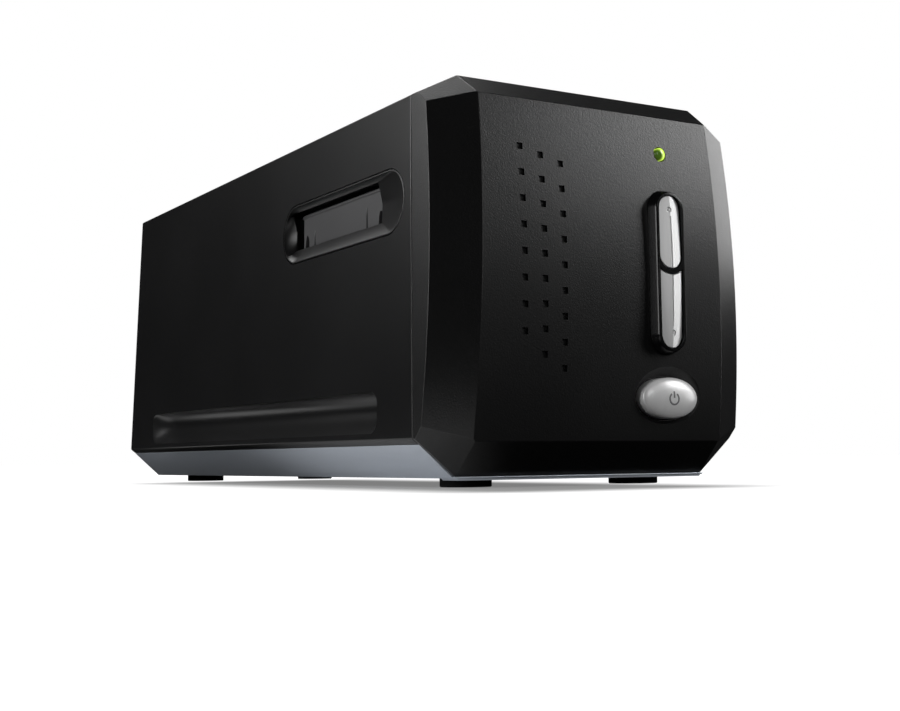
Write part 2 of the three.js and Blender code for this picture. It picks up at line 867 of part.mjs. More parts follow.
function baseTray() {
  const right = [
    [trayFlatHalf, footHeight],
    [trayRimHalf, trayRimZ],
  ];
  const outline = [...right, ...mirrored(right)];
  const sideView = [
    [trayLipY, footHeight],
    [rearYAt(footHeight), footHeight],
    [rearYAt(trayRimZ), trayRimZ],
    [seamYAt(trayRimZ) + seamGap, trayRimZ],
    [seamYAt(bezelFloorZ) + seamGap, bezelFloorZ],
    [trayLipY, bezelFloorZ],
  ];
  const reach = sideLowHalf + overrun;
  const outer = prism("y", outline, trayLipY - overrun, rearLowY + overrun).intersect(
    prism("x", sideView, -reach, reach),
  );
  const rise = trayRimZ + overrun - trayFloorZ;
  const slope = (trayRimHalf - trayFlatHalf) / (trayRimZ - footHeight);
  const floorHalf = trayFlatHalf + slope * trayWall - trayWall;
  const rimHalf = floorHalf + slope * rise;
  const inner = [
    [floorHalf, trayFloorZ],
    [Math.min(rimHalf, trayRimHalf - trayWall), trayFloorZ + rise],
  ];
  const hollow = prism(
    "y",
    [...inner, ...mirrored(inner)],
    seamYAt(footHeight) + seamGap + trayWall,
    rearYAt(trayRimZ) - trayWall,
  );
  const stands = chassisStands.map(({ x, y }) =>
    rod("z", x, y, chassis.standRadius, trayFloorZ - trayWall / 2, chassis.floorZ),
  );
  const screwHoles = chassisStands.flatMap(({ x, y }) => [
    rod("z", x, y, screw.shankRadius + runningGap, footHeight - overrun, chassis.floorZ + overrun),
    rod("z", x, y, screw.headRadius + runningGap, footHeight - overrun, footHeight + screw.headHeight),
  ]);
  const footHoles = Object.values(footPlaces).map(({ x, y }) =>
    rod("z", x, y, foot.plugRadius + seamGap, footHeight - overrun, footHeight + foot.plugHeight + seamGap),
  );
  return cut(join(cut(outer, hollow), ...stands), ...screwHoles, ...footHoles);
}

function rubberFoot({ x, y }) {
  return join(
    rod("z", x, y, footRadius, 0, footHeight),
    rod("z", x, y, foot.plugRadius, 0, footHeight + foot.plugHeight),
  );
}

// A screw whose head bears on a face at a height along its axis, and whose shank runs to one side
function machineScrew(axis, across, up, headFace, direction) {
  const back = headFace - direction * screw.headHeight;
  const tip = headFace + direction * screw.grip;
  const turned = (radius, ends, sides) =>
    rod(axis, across, up, radius, Math.min(...ends), Math.max(...ends), sides);
  const head = turned(screw.headRadius, [back, headFace], roundSides);
  const shank = turned(screw.shankRadius, [headFace, tip], smallSides);
  const socket = turned(screw.driveRadius, [back - direction * overrun, back + direction * screw.driveDepth], 6);
  return cut(join(head, shank), socket);
}

// Controls on the front

// A slab of the front whose face follows the bulge, standing proud of it
function bulgedSlab(halfWidth, x, proud, backY, bottomZ, topZ) {
  const steps = 14;
  const front = Array.from({ length: steps + 1 }, (_, index) => {
    const z = bottomZ + ((topZ - bottomZ) * index) / steps;
    return [faceYAt(z) - proud, z];
  });
  const outline = [[backY, bottomZ], ...front, [backY, topZ]];
  return prism("x", outline, x - halfWidth, x + halfWidth);
}

function pillLoft(steps) {
  const frontY = faceY - collar.proud - overrun;
  const backY = faceYAt(collar.bottomZ);
  const taper = (collar.baseHalf - collar.rimHalf) / collar.proud;
  const spreads = [
    [backY, collar.baseHalf],
    [frontY, collar.baseHalf - taper * (backY - frontY)],
  ];
  return loft(
    spreads.map(([y, half]) => {
      const margin = half - collar.rimHalf;
      return upright(y, pill(collar.x, collar.bottomZ - margin, collar.topZ + margin, half, steps));
    }),
  );
}

const keyMargin = collar.rimHalf - scanButton.half;
const keyTopZ = collar.topZ - keyMargin;
const keyBottomZ = collar.bottomZ + keyMargin;

// The outline of the upper key, and the gap to the lower one, both grown by a margin
function upperKeyOutline(margin) {
  return pill(collar.x, scanButton.split - margin, keyTopZ + margin, scanButton.half + margin);
}

function keyPrism(outline, backY) {
  return prism("y", outline, faceY - collar.proud - overrun, backY);
}

function upperKeyForm(margin, backY) {
  return keyPrism(upperKeyOutline(margin), backY);
}

function lowerKeyForm(margin, backY) {
  const whole = keyPrism(pill(collar.x, keyBottomZ - margin, keyTopZ, scanButton.half + margin), backY);
  const barrier = upperKeyForm(collar.barThickness + runningGap * 2 - margin, backY + overrun);
  const above = keyTopZ + overrun;
  const upperHalf = box(
    collar.x - collar.baseHalf,
    collar.x + collar.baseHalf,
    faceY - collar.proud - overrun * 2,
    backY + overrun,
    scanButton.split + scanButton.half,
    above,
  );
  return cut(whole, barrier, upperHalf);
}

function buttonCollar() {
  const flange = cut(
    pillLoft(10).intersect(
      bulgedSlab(collar.baseHalf * 2, collar.x, collar.proud, faceY + overrun * 2, 0, roofZ - overrun),
    ),
    bulgedSlab(collar.baseHalf * 2, collar.x, seamGap, faceY + overrun * 3, 0, roofZ),
  );
  const neck = prism(
    "y",
    pill(collar.x, collar.bottomZ, collar.topZ, collarNeckHalf),
    faceY - seamGap,
    collarBackY,
  );
  const reach = collarBackY + overrun;
  return cut(join(flange, neck), upperKeyForm(runningGap, reach), lowerKeyForm(runningGap, reach));
}

const keyBackY = faceY - scanButton.edgeProud + scanButton.depth;
const switchFrontY = keyBoard.frontY - keyBoard.switchDepth;

// The front of a key is a low roof whose ridge runs upwards along its middle
function ridgedFront() {
  const half = collar.baseHalf;
  const slope = (scanButton.ridgeProud - scanButton.edgeProud) / scanButton.half;
  const outline = [
    [collar.x - half, faceY - scanButton.ridgeProud + half * slope],
    [collar.x, faceY - scanButton.ridgeProud],
    [collar.x + half, faceY - scanButton.ridgeProud + half * slope],
    [collar.x + half, faceY + overrun * 3],
    [collar.x - half, faceY + overrun * 3],
  ];
  return prism("z", outline, collar.bottomZ - overrun, collar.topZ + overrun);
}

function stem(x, z, radius, travel) {
  return rod("y", x, z, radius, keyBackY - wall, switchFrontY - travel - seamGap, smallSides);
}

const upperStemZ = (keyTopZ + scanButton.split) / 2;
const lowerStemZ = (keyBottomZ + scanButton.split) / 2;

function upperScanButton() {
  const body = upperKeyForm(0, keyBackY).intersect(ridgedFront());
  return join(body, stem(collar.x, upperStemZ, scanButton.stemRadius, scanButton.travel));
}

function lowerScanButton() {
  const body = lowerKeyForm(0, keyBackY).intersect(ridgedFront());
  return join(body, stem(collar.x, lowerStemZ, scanButton.stemRadius, scanButton.travel));
}

function powerButton() {
  const faceAt = faceYAt(power.z);
  const rings = 5;
  const crown = Array.from({ length: rings }, (_, index) => {
    const angle = (index / rings) * (Math.PI / 2);
    const share = Math.cos(angle);
    const y = faceAt - power.edgeProud - power.crown * Math.sin(angle);
    return upright(y, ellipse(power.x, power.z, power.capHalfWidth * share, power.capHalfHeight * share));
  });
  const backY = faceAt - power.edgeProud + power.depth;
  const back = upright(backY, ellipse(power.x, power.z, power.capHalfWidth, power.capHalfHeight));
  return join(loft([back, ...crown]), stem(power.x, power.z, power.stemRadius, power.travel));
}

function statusLens() {
  const faceAt = faceYAt(statusLight.z);
  const dome = arc(0, 0, statusLight.radius, statusLight.dome, 0, Math.PI / 2, 5).slice(0, -1);
  const points = [
    new THREE.Vector2(0, keyBoard.frontY),
    new THREE.Vector2(statusLight.radius, keyBoard.frontY),
    ...dome.map(([radius, rise]) => new THREE.Vector2(radius, faceAt - rise)),
    new THREE.Vector2(0, faceAt - statusLight.dome),
  ];
  const geometry = new THREE.LatheGeometry(points, roundSides);
  geometry.translate(statusLight.x, 0, statusLight.z);
  return solid(geometry);
}

// Film slots and their dust doors

// The slot opening as a ring of points that pairs with the points of the slot outline
function openingOutline() {
  const halfZ = (slot.openTopZ - slot.openBottomZ) / 2;
  const middleZ = (slot.openTopZ + slot.openBottomZ) / 2;
  const squared = (startAngle, cornerY) =>
    arc(0, 0, 1, 1, startAngle, startAngle + Math.PI, 12).map(([across, up]) => {
      const reach = Math.max(Math.abs(across), Math.abs(up));
      return [cornerY + (halfZ * across) / reach, middleZ + (halfZ * up) / reach];
    });
  return [
    ...squared(-Math.PI / 2, slot.openRearY - halfZ),
    ...squared(Math.PI / 2, slot.openFrontY + halfZ),
  ];
}

function slotSurround(side) {
  const faceHalf = sideHalfAt((slot.topZ + slot.bottomZ) / 2);
  const rim = slotOutline(-slot.rim);
  const opening = openingOutline();
  const between = (share) =>
    rim.map(([y, z], index) => [
      y + (opening[index][0] - y) * share,
      z + (opening[index][1] - z) * share,
    ]);
  const at = (depth, outline) => outline.map(([y, z]) => [side * (faceHalf - depth), y, z]);
  const dish = loft([
    at(-overrun, rim),
    at(0, rim),
    at(slot.dishDepth * slot.dishMiddleDepthShare, between(slot.dishMiddleOutlineShare)),
    at(slot.dishDepth, opening),
    at(faceHalf - slot.innerHalf + overrun, opening),
  ]);
  const inner = side * slot.innerHalf;
  const outer = side * (sideLowHalf + overrun);
  const plug = prism("x", slotOutline(-runningGap / 2), Math.min(inner, outer), Math.max(inner, outer));
  const block = plug.intersect(prism("y", shellProfile, slot.frontY - overrun, slot.rearY + overrun));
  const pinReach = door.pinLength + runningGap;
  const pinHole = rod(
    "y",
    side * door.x,
    door.axisZ,
    door.pinRadius + door.pinGap,
    slot.openFrontY - pinReach + door.endGap,
    slot.openRearY + pinReach - door.endGap,
    smallSides,
  );
  return cut(block, dish, pinHole);
}

function dustDoor(side) {
  const from = slot.openFrontY + door.endGap;
  const to = slot.openRearY - door.endGap;
  const half = door.thickness / 2;
  const low = slot.openBottomZ + runningGap;
  const x = side * door.x;
  const outer = x + side * half;
  const plate = box(x - half, x + half, from, to, low, door.axisZ);
  const barrel = rod("y", x, door.axisZ, door.barrelRadius, from, to, smallSides);
  const pinReach = door.pinLength - door.endGap;
  const pins = rod("y", x, door.axisZ, door.pinRadius, from - pinReach, to + pinReach, smallSides);
  const ribs = [from + door.ribInset, to - door.ribInset].map((y) => {
    const edges = [outer, outer + side * door.ribHeight];
    return box(
      Math.min(...edges),
      Math.max(...edges),
      y - door.ribWidth / 2,
      y + door.ribWidth / 2,
      low,
      door.axisZ - door.barrelRadius * 2,
    );
  });
  const notches = [from + door.notchInset, to - door.notchInset].map((y) => {
    const arch = arc(y, low, door.notchHalf, door.notchHeight, 0, Math.PI, 8);
    const foot = [
      [y - door.notchHalf, low - overrun],
      [y + door.notchHalf, low - overrun],
    ];
    return prism("x", [...foot, ...arch], x - overrun, x + overrun);
  });
  return cut(join(plate, barrel, pins, ...ribs), ...notches);
}

// Film guides

const guideFrontY = slot.openFrontY - guide.rail;
const guideRearY = slot.openRearY + guide.rail;

function filmWindow(fromZ, toZ) {
  return box(
    -guide.windowHalfX,
    guide.windowHalfX,
    guide.windowY - guide.windowHalfY,
    guide.windowY + guide.windowHalfY,
    fromZ,
    toZ,
  );
}

function filmGuideLower() {
  const half = guide.halfLength;
  const low = slot.openBottomZ - guide.plate;
  const plate = box(-half, half, guideFrontY, guideRearY, low, slot.openBottomZ);
  const frontRail = box(-half, half, guideFrontY, slot.openFrontY, low, slot.openTopZ);
  const rearRail = box(-half, half, slot.openRearY, guideRearY, low, slot.openTopZ);
  return cut(join(plate, frontRail, rearRail), filmWindow(low - overrun, slot.openBottomZ + overrun));
}

const guideTopZ = slot.openTopZ + guide.plate;

function filmGuideUpper() {
  const half = guide.halfLength;
  const plate = box(-half, half, guideFrontY, guideRearY, slot.openTopZ, guideTopZ);
  const boreRadius = plunger.radius + seamGap;
  const bore = rod("z", plunger.x, plunger.y, boreRadius, slot.openTopZ - overrun, guideTopZ + overrun);
  return cut(plate, filmWindow(slot.openTopZ - overrun, guideTopZ + overrun), bore);
}

// A sprung pin that drops into the notches of the film holder
function detentPlunger() {
  const lowZ = slot.openTopZ - plunger.dip;
  const points = [
    [0, lowZ],
    [plunger.radius / 2, lowZ],
    [plunger.radius, lowZ + plunger.radius / 2],
    [plunger.radius, guideTopZ],
    [plunger.collarRadius, guideTopZ],
    [plunger.collarRadius, guideTopZ + plunger.collarHeight],
    [plunger.radius, guideTopZ + plunger.collarHeight],
    [plunger.radius, lowZ + plunger.length],
    [0, lowZ + plunger.length],
  ].map(([radius, z]) => new THREE.Vector2(radius, z));
  const geometry = new THREE.LatheGeometry(points, roundSides);
  geometry.rotateX(Math.PI / 2);
  geometry.translate(plunger.x, plunger.y, 0);
  return solid(geometry);
}

// Light source

function lampHousing() {
  const outer = box(-lamp.halfX, lamp.halfX, lamp.frontY, lamp.rearY, guideTopZ, lamp.topZ);
  const inner = box(
    -lamp.halfX + lamp.wall,
    lamp.halfX - lamp.wall,
    lamp.frontY + lamp.wall,
    lamp.rearY - lamp.wall,
    guideTopZ - overrun,
    lamp.topZ - lamp.wall,
  );
  return cut(outer, inner);
}

// A flat piece that fills the lamp housing from wall to wall
function lampLayer(fromZ, toZ) {
  const inset = lamp.wall;
  return box(
    -lamp.halfX + inset,
    lamp.halfX - inset,
    lamp.frontY + inset,
    lamp.rearY - inset,
    fromZ,
    toZ,
  );
}

function lampBoard() {
  const topZ = lamp.topZ - lamp.wall - lamp.boardDrop;
  return lampLayer(topZ - lamp.boardThickness, topZ);
}

function diffuser() {
  return lampLayer(guideTopZ + lamp.diffuserRise, guideTopZ + lamp.diffuserRise + lamp.diffuserThickness);
}

// Chassis and rods

const chassisTopZ = chassis.floorZ + chassis.plate;
const carriagePlateZ = rods.z + rods.bushHalf;
const carriageTopZ = carriagePlateZ + carriage.plate;
const gearY = chassis.rearY + drive.gearStandoff;
const gearCentres = (drive.module * (drive.gearTeeth + drive.pinionTeeth)) / 2 + drive.centreGap;
const motorZ = rods.z + gearCentres;
const chassisRearFaceY = chassis.rearY - chassis.endWall;

function chassisFrame() {
  const half = chassis.halfWidth;
  const low = chassis.floorZ;
  const plate = box(-half, half, chassis.frontY, chassis.rearY, low, chassisTopZ);
  const frontWallRearY = chassis.frontY + chassis.endWall;
  const frontWall = box(-half, half, chassis.frontY, frontWallRearY, low, chassis.frontWallTopZ);
  const rearWall = box(-half, half, chassisRearFaceY, chassis.rearY, low, chassis.rearWallTopZ);
  const cheeks = [-half, half - chassis.cheekThickness].map((x) =>
    box(
      x,
      x + chassis.cheekThickness,
      chassis.cheekFrontY,
      chassis.cheekRearY,
      low,
      slot.openBottomZ - guide.plate,
    ),
  );
  const tabs = [board.frontY + board.tabInset, chassis.rearY - board.tab].map((y) =>
    box(half - chassis.cheekThickness, board.x, y, y + board.tab, low, board.bottomZ + board.tab / 2),
  );
  const holes = [
    ...[-rods.x, rods.x].map((x) => rod("y", x, rods.z, rods.radius + seamGap, -farReach, farReach)),
    rod("y", drive.x, rods.z, drive.journalRadius + drive.journalGap, -farReach, farReach),
    rod("y", drive.x, motorZ, drive.motorShaftRadius + runningGap, 0, farReach),
    ...chassisStands.map(({ x, y }) =>
      rod("z", x, y, screw.shankRadius + seamGap, low - overrun, chassisTopZ + overrun, smallSides),
    ),
  ];
  return cut(join(plate, frontWall, rearWall, ...cheeks, ...tabs), ...holes);
}

function guideRod(side) {
  return rod("y", side * rods.x, rods.z, rods.radius, chassis.frontY, chassis.rearY);
}

// Scanning carriage

const mirrorNormal = [Math.SQRT1_2, Math.SQRT1_2];
const mirrorSlope = [Math.SQRT1_2, -Math.SQRT1_2];

// A point beside the mirror's middle, given along its slope and behind its face
function mirrorPoint(along, behind) {
  return [
    optics.mirrorY + mirrorSlope[0] * along - mirrorNormal[0] * behind,
    optics.z + mirrorSlope[1] * along - mirrorNormal[1] * behind,
  ];
}

function mirror() {
  const half = optics.mirrorWidth / 2;
  const outline = [
    mirrorPoint(-half, 0),
    mirrorPoint(-half, optics.mirrorThickness),
    mirrorPoint(half, optics.mirrorThickness),
    mirrorPoint(half, 0),
  ];
  return prism("x", outline, -optics.mirrorLength / 2, optics.mirrorLength / 2);
}

function carriageFrame() {
  const reach = rods.x + rods.bushHalf;
  const plate = box(-reach, reach, carriage.frontY, carriage.rearY, carriagePlateZ, carriageTopZ);
  const bushes = [-rods.x, rods.x].flatMap((x) =>
    [carriage.frontY, carriage.rearY - rods.bushLength].map((y) =>
      box(
        x - rods.bushHalf,
        x + rods.bushHalf,
        y,
        y + rods.bushLength,
        rods.z - rods.bushHalf,
        carriageTopZ,
      ),
    ),
  );
  const bores = [-rods.x, rods.x].map((x) =>
    rod("y", x, rods.z, rods.radius + rods.bushGap, carriage.frontY - overrun, carriage.rearY + overrun),
  );
  const half = optics.mirrorWidth / 2;
  const high = mirrorPoint(-half, optics.mirrorThickness + runningGap);
  const low = mirrorPoint(half, optics.mirrorThickness + runningGap);
  const ribOutline = [[high[0], carriagePlateZ], [low[0], carriagePlateZ], low, high];
  const ribs = [-carriage.mirrorRibX, carriage.mirrorRibX].map((x) =>
    prism("x", ribOutline, x - carriage.mirrorRibThickness / 2, x + carriage.mirrorRibThickness / 2),
  );
  const saddle = cut(
    box(
      -optics.saddleHalf,
      optics.saddleHalf,
      optics.saddleFrontY,
      optics.saddleRearY,
      carriagePlateZ,
      optics.z,
    ),
    rod("y", 0, optics.z, optics.lensRadius + seamGap, 0, optics.lensRearY + overrun),
  );
  return cut(join(plate, ...bushes, ...ribs, saddle), ...bores);
}

function lensBarrel() {
  const { lensFrontY, lensRearY, lensGlassRadius, lensGlassDip } = optics;
  const points = [
    [0, lensFrontY + lensGlassDip / 2],
    [lensGlassRadius, lensFrontY + lensGlassDip],
    [optics.lensBackRadius, lensFrontY],
    [optics.lensFrontRadius, lensFrontY],
    [optics.lensFrontRadius, lensFrontY + optics.lensRing],
    [optics.lensRadius, lensFrontY + optics.lensRing],
    [optics.lensRadius, lensRearY - optics.lensRing],
    [optics.lensBackRadius, lensRearY - optics.lensRing],
    [optics.lensBackRadius, lensRearY],
    [lensGlassRadius, lensRearY - lensGlassDip],
    [0, lensRearY - lensGlassDip / 2],
  ].map(([radius, y]) => new THREE.Vector2(radius, y));
  const geometry = new THREE.LatheGeometry(points, roundSides);
  geometry.translate(0, 0, optics.z);
  return solid(geometry);
}

function lensClamp() {
  const inner = optics.lensRadius + seamGap;
  const outer = inner + optics.clampThickness;
  const from = optics.saddleFrontY + optics.clampMargin;
  const to = optics.saddleRearY - optics.clampMargin;
  const arch = rod("y", 0, optics.z, outer, from, to);
  const feet = box(-optics.saddleHalf, optics.saddleHalf, from, to, optics.z, optics.z + optics.clampThickness);
  const below = box(-farReach, farReach, from - overrun, to + overrun, optics.z - farReach, optics.z);
  return cut(join(arch, feet), below, rod("y", 0, optics.z, inner, from - overrun, to + overrun));
}

function sensorBoard() {
  const half = optics.boardHalfX;
  return box(-half, half, optics.boardY, optics.boardY + optics.boardThickness, carriageTopZ, optics.boardTopZ);
}

function ccdSensor() {
  const { chipHalfX, chipHalfZ } = optics;
  return box(
    -chipHalfX,
    chipHalfX,
    optics.boardY - optics.chipDepth,
    optics.boardY,
    optics.z - chipHalfZ,
    optics.z + chipHalfZ,
  );
}

function driveNut() {
  const half = rods.bushHalf;
  const from = carriage.nutFrontY;
  const to = from + carriage.nutLength;
  const block = box(drive.x - half, drive.x + half, from, to, rods.z - half, carriagePlateZ);
  return cut(block, rod("y", drive.x, rods.z, drive.screwRadius + seamGap, from - overrun, to + overrun));
}

// Drive

function leadScrew() {
  const from = chassis.frontY + chassis.endWall + runningGap;
  const to = chassisRearFaceY - runningGap;
  return join(
    rod("y", drive.x, rods.z, drive.screwRadius, from, to),
    rod("y", drive.x, rods.z, drive.journalRadius, chassis.frontY, gearY + drive.gearWidth),
  );
}

function involuteAngle(angle) {
  return Math.tan(angle) - angle;
}

// The outline of a spur gear with involute flanks. The phase turns its first tooth.
function gearOutline(teeth, phase, x, z) {
  const pitchRadius = (drive.module * teeth) / 2;
  const baseRadius = pitchRadius * Math.cos(pressureAngle);
  const tip = pitchRadius + drive.module * drive.addendumShare;
  const root = pitchRadius - drive.module * drive.dedendumShare;
  const thickness = (Math.PI * drive.module - drive.backlash) / 2;
  const halfAngleAt = (radius) =>
    thickness / 2 / pitchRadius +
    involuteAngle(pressureAngle) -
    involuteAngle(Math.acos(Math.min(1, baseRadius / radius)));
  const radii = [root, Math.max(root, baseRadius), pitchRadius, tip];
  const at = (angle, radius) => [x + radius * Math.cos(angle), z + radius * Math.sin(angle)];
  return Array.from({ length: teeth }, (_, index) => {
    const middle = phase + (index / teeth) * 2 * Math.PI;
    const rising = radii.map((radius) => at(middle - halfAngleAt(radius), radius));
    const falling = radii.map((radius) => at(middle + halfAngleAt(radius), radius)).reverse();
    return [...rising, ...falling];
  })
    .flat()
    .filter((point, index, all) => {
      const before = all[(index + all.length - 1) % all.length];
      return Math.hypot(point[0] - before[0], point[1] - before[1]) > 0;
    });
}

function screwGear() {
  const outline = gearOutline(drive.gearTeeth, 0, drive.x, rods.z);
  const bore = rod(
    "y",
    drive.x,
    rods.z,
    drive.journalRadius + drive.journalGap,
    gearY - overrun,
    gearY + drive.gearWidth + overrun,
  );
  return cut(prism("y", outline, gearY, gearY + drive.gearWidth), bore);
}

function motorPinion() {
  const phase = Math.PI / drive.pinionTeeth;
  const outline = gearOutline(drive.pinionTeeth, phase, drive.x, motorZ);
  const from = chassisRearFaceY + runningGap;
  return join(
    prism("y", outline, gearY, gearY + drive.gearWidth),
    rod("y", drive.x, motorZ, drive.motorShaftRadius, from, gearY + drive.gearWidth),
  );
}

function stepperMotor() {
  const to = chassisRearFaceY;
  const flange = box(
    drive.x - drive.motorFlangeHalf,
    drive.x + drive.motorFlangeHalf,
    to - drive.motorFlange,
    to,
    motorZ - drive.motorRadius / 2,
    motorZ + drive.motorRadius / 2,
  );
  return join(rod("y", drive.x, motorZ, drive.motorRadius, to - drive.motorLength, to), flange);
}

// Electronics

function mainBoard() {
  return box(board.x, board.x + board.thickness, board.frontY, board.rearY, board.bottomZ, board.topZ);
}

function usbSocket() {
  const rearY = rearPanelBackY + usb.proud;
  const body = box(
    usb.x - usb.halfX,
    usb.x + usb.halfX,
    rearY - usb.depth,
    rearY,
    usb.z - usb.halfZ,
    usb.z + usb.halfZ,
  );
  const mouth = box(
    usb.x - usb.openHalfX,
    usb.x + usb.openHalfX,
    rearY - usb.openDepth,
    rearY + overrun,
    usb.z - usb.openHalfZ,
    usb.z + usb.openHalfZ,
  );
  return cut(body, mouth);
}

function powerInlet() {
  const rearY = rearPanelBackY + inlet.proud;
  const body = box(
    inlet.x - inlet.half,
    inlet.x + inlet.half,
    rearY - inlet.depth,
    rearY,
    inlet.z - inlet.half,
    inlet.z + inlet.half,
  );
  const mouth = rod("y", inlet.x, inlet.z, inlet.holeRadius, rearY - inlet.openDepth, rearY + overrun);
  const pinRoot = rearY - inlet.openDepth - inlet.proud;
  const pin = rod("y", inlet.x, inlet.z, inlet.pinRadius, pinRoot, rearY - inlet.proud, smallSides);
  return join(cut(body, mouth), pin);
}

function homeSensorBlock() {
  const { x, y, half, length, height, slotHalf, slotDepth } = homeSensor;
  const topZ = chassisTopZ + height;
  const body = box(x - half, x + half, y - length / 2, y + length / 2, chassisTopZ, topZ);
  const gap = box(x - slotHalf, x + slotHalf, y - length, y + length, topZ - slotDepth, topZ + overrun);
  return cut(body, gap);
}

function keyBoardPlate() {
  const { left, right, frontY, thickness, bottomZ, topZ } = keyBoard;
  return box(left, right, frontY, frontY + thickness, bottomZ, topZ);
}

function keySwitch(x, z) {
  const half = keyBoard.switchHalf;
  const body = box(x - half, x + half, switchFrontY + wall / 2, keyBoard.frontY, z - half, z + half);
  return join(body, rod("y", x, z, half / 2, switchFrontY, keyBoard.frontY - wall / 2, smallSides));
}

// The whole scanner

function piece(name, form, finish) {
  const mesh = new THREE.Mesh(geometryOf(form), finish);
  mesh.name = name;
  return mesh;
}

const scanner = new THREE.Group();
const housing = new THREE.Group();
const controls = new THREE.Group();
const filmPath = new THREE.Group();
const engine = new THREE.Group();
const electronics = new THREE.Group();
scanner.add(housing, controls, filmPath, engine, electronics);

housing.add(
  piece("base_tray", baseTray(), finishes.silver),
  piece("body_shell", bodyShell(), finishes.black),
  piece("front_bezel", frontBezel(), finishes.black),
  piece("rear_panel", rearPanel(), finishes.black),
);
for (const [corner, spot] of Object.entries(footPlaces)) {
  housing.add(piece(`foot_${corner}`, rubberFoot(spot), finishes.rubber));
}
rearPlaces.forEach(({ x, z }, index) => {
  housing.add(piece(`rear_screw_${index + 1}`, machineScrew("y", x, z, rearPanelBackY, -1), finishes.steel));
});
chassisStands.forEach(({ x, y }, index) => {
  const headFace = footHeight + screw.headHeight;
  housing.add(piece(`base_screw_${index + 1}`, machineScrew("z", x, y, headFace, 1), finishes.steel));
});

controls.add(
  piece("button_collar", buttonCollar(), finishes.gloss),
  piece("upper_scan_button", upperScanButton(), finishes.button),
  piece("lower_scan_button", lowerScanButton(), finishes.button),
  piece("power_button", powerButton(), finishes.button),
  piece("status_lens", statusLens(), finishes.lens),
  piece("key_board", keyBoardPlate(), finishes.circuit),
  piece("upper_key_switch", keySwitch(collar.x, upperStemZ), finishes.grey),
  piece("lower_key_switch", keySwitch(collar.x, lowerStemZ), finishes.grey),
  piece("power_switch", keySwitch(power.x, power.z), finishes.grey),
);

for (const [name, side] of [["left", -1], ["right", 1]]) {
  filmPath.add(
    piece(`${name}_slot_surround`, slotSurround(side), finishes.gloss),
    piece(`${name}_dust_door`, dustDoor(side), finishes.grey),
  );
  engine.add(piece(`guide_rod_${name}`, guideRod(side), finishes.steel));
}
filmPath.add(
  piece("film_guide_lower", filmGuideLower(), finishes.grey),
  piece("film_guide_upper", filmGuideUpper(), finishes.grey),
  piece("detent_plunger", detentPlunger(), finishes.steel),
  piece("lamp_housing", lampHousing(), finishes.grey),
  piece("lamp_board", lampBoard(), finishes.circuit),
  piece("diffuser", diffuser(), finishes.white),
);

engine.add(
  piece("chassis_frame", chassisFrame(), finishes.grey),
  piece("carriage_frame", carriageFrame(), finishes.grey),
  piece("mirror", mirror(), finishes.glass),
  piece("lens_barrel", lensBarrel(), finishes.gloss),
  piece("lens_clamp", lensClamp(), finishes.steel),
  piece("sensor_board", sensorBoard(), finishes.circuit),
  piece("ccd_sensor", ccdSensor(), finishes.gloss),
  piece("drive_nut", driveNut(), finishes.brass),
  piece("lead_screw", leadScrew(), finishes.steel),
  piece("screw_gear", screwGear(), finishes.white),
  piece("motor_pinion", motorPinion(), finishes.brass),
  piece("stepper_motor", stepperMotor(), finishes.steel),
);

electronics.add(
  piece("main_board", mainBoard(), finishes.circuit),
  piece("usb_socket", usbSocket(), finishes.steel),
  piece("power_inlet", powerInlet(), finishes.gloss),
  piece("home_sensor", homeSensorBlock(), finishes.gloss),
);

export default scanner;
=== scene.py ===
# Looks of the film negative scanner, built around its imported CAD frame.
import json
import math

import bmesh
import bpy
from mathutils import Matrix, Vector


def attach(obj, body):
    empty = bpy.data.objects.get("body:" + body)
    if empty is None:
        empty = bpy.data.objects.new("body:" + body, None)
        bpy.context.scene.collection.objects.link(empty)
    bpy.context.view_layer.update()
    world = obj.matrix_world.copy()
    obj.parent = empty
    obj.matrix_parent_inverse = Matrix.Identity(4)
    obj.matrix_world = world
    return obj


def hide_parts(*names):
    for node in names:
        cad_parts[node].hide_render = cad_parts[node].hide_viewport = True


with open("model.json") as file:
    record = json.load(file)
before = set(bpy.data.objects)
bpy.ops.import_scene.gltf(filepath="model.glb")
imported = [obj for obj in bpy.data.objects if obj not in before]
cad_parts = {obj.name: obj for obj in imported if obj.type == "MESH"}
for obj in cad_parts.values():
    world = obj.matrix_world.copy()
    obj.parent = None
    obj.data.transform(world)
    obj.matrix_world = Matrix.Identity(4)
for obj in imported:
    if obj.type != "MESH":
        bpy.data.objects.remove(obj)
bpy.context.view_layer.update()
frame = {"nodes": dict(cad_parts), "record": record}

# Lengths below are in millimetres and are turned into metres where a mesh is made
MM = 0.001

# Cross-section and side view of the housing. Corners of the section are half-width and height
TRAY_RIM_HALF = 56.7
TRAY_RIM_Z = 12.6
FLOOR_HALF = 45.61
FLOOR_Z = 3.3
SIDE_LOW = (58.7, 14.2)
SIDE_HIGH = (55.53, 115.0)
ROOF_HALF = 43.91
ROOF_Z = 120.8
WALL = 2.4
SEAM_LOW_Y = -118.4
SEAM_HIGH_Y = -113.7
REAR_LOW_Y = 137.8
REAR_HIGH_Y = 133.2
REAR_RADIUS = 4
SEAM_GAP = 0.15

# Bulged face and its edges
FACE_Y = -133.5
FACE_MIDDLE_Z = 62.57
FACE_RADIUS = 336
BAND_DEPTH = 7.5
FACE_INSET = 13.2
TOP_EDGE_Y = -120.2
TOP_FACE_EDGE = (-129.2, 114.16)
FLOOR_EDGE_Y = -120.1
FLOOR_FACE_EDGE = (-129.9, 13.25)
UPPER_CORNER_SIDE = (-122.7, 110.89)
LOWER_CORNER_SIDE = (-122.2, 16.8)
UPPER_CORNER_HALF = 42.62
LOWER_CORNER_HALF = 44.91

# How far a cutter reaches past what it cuts
OVERRUN = 5
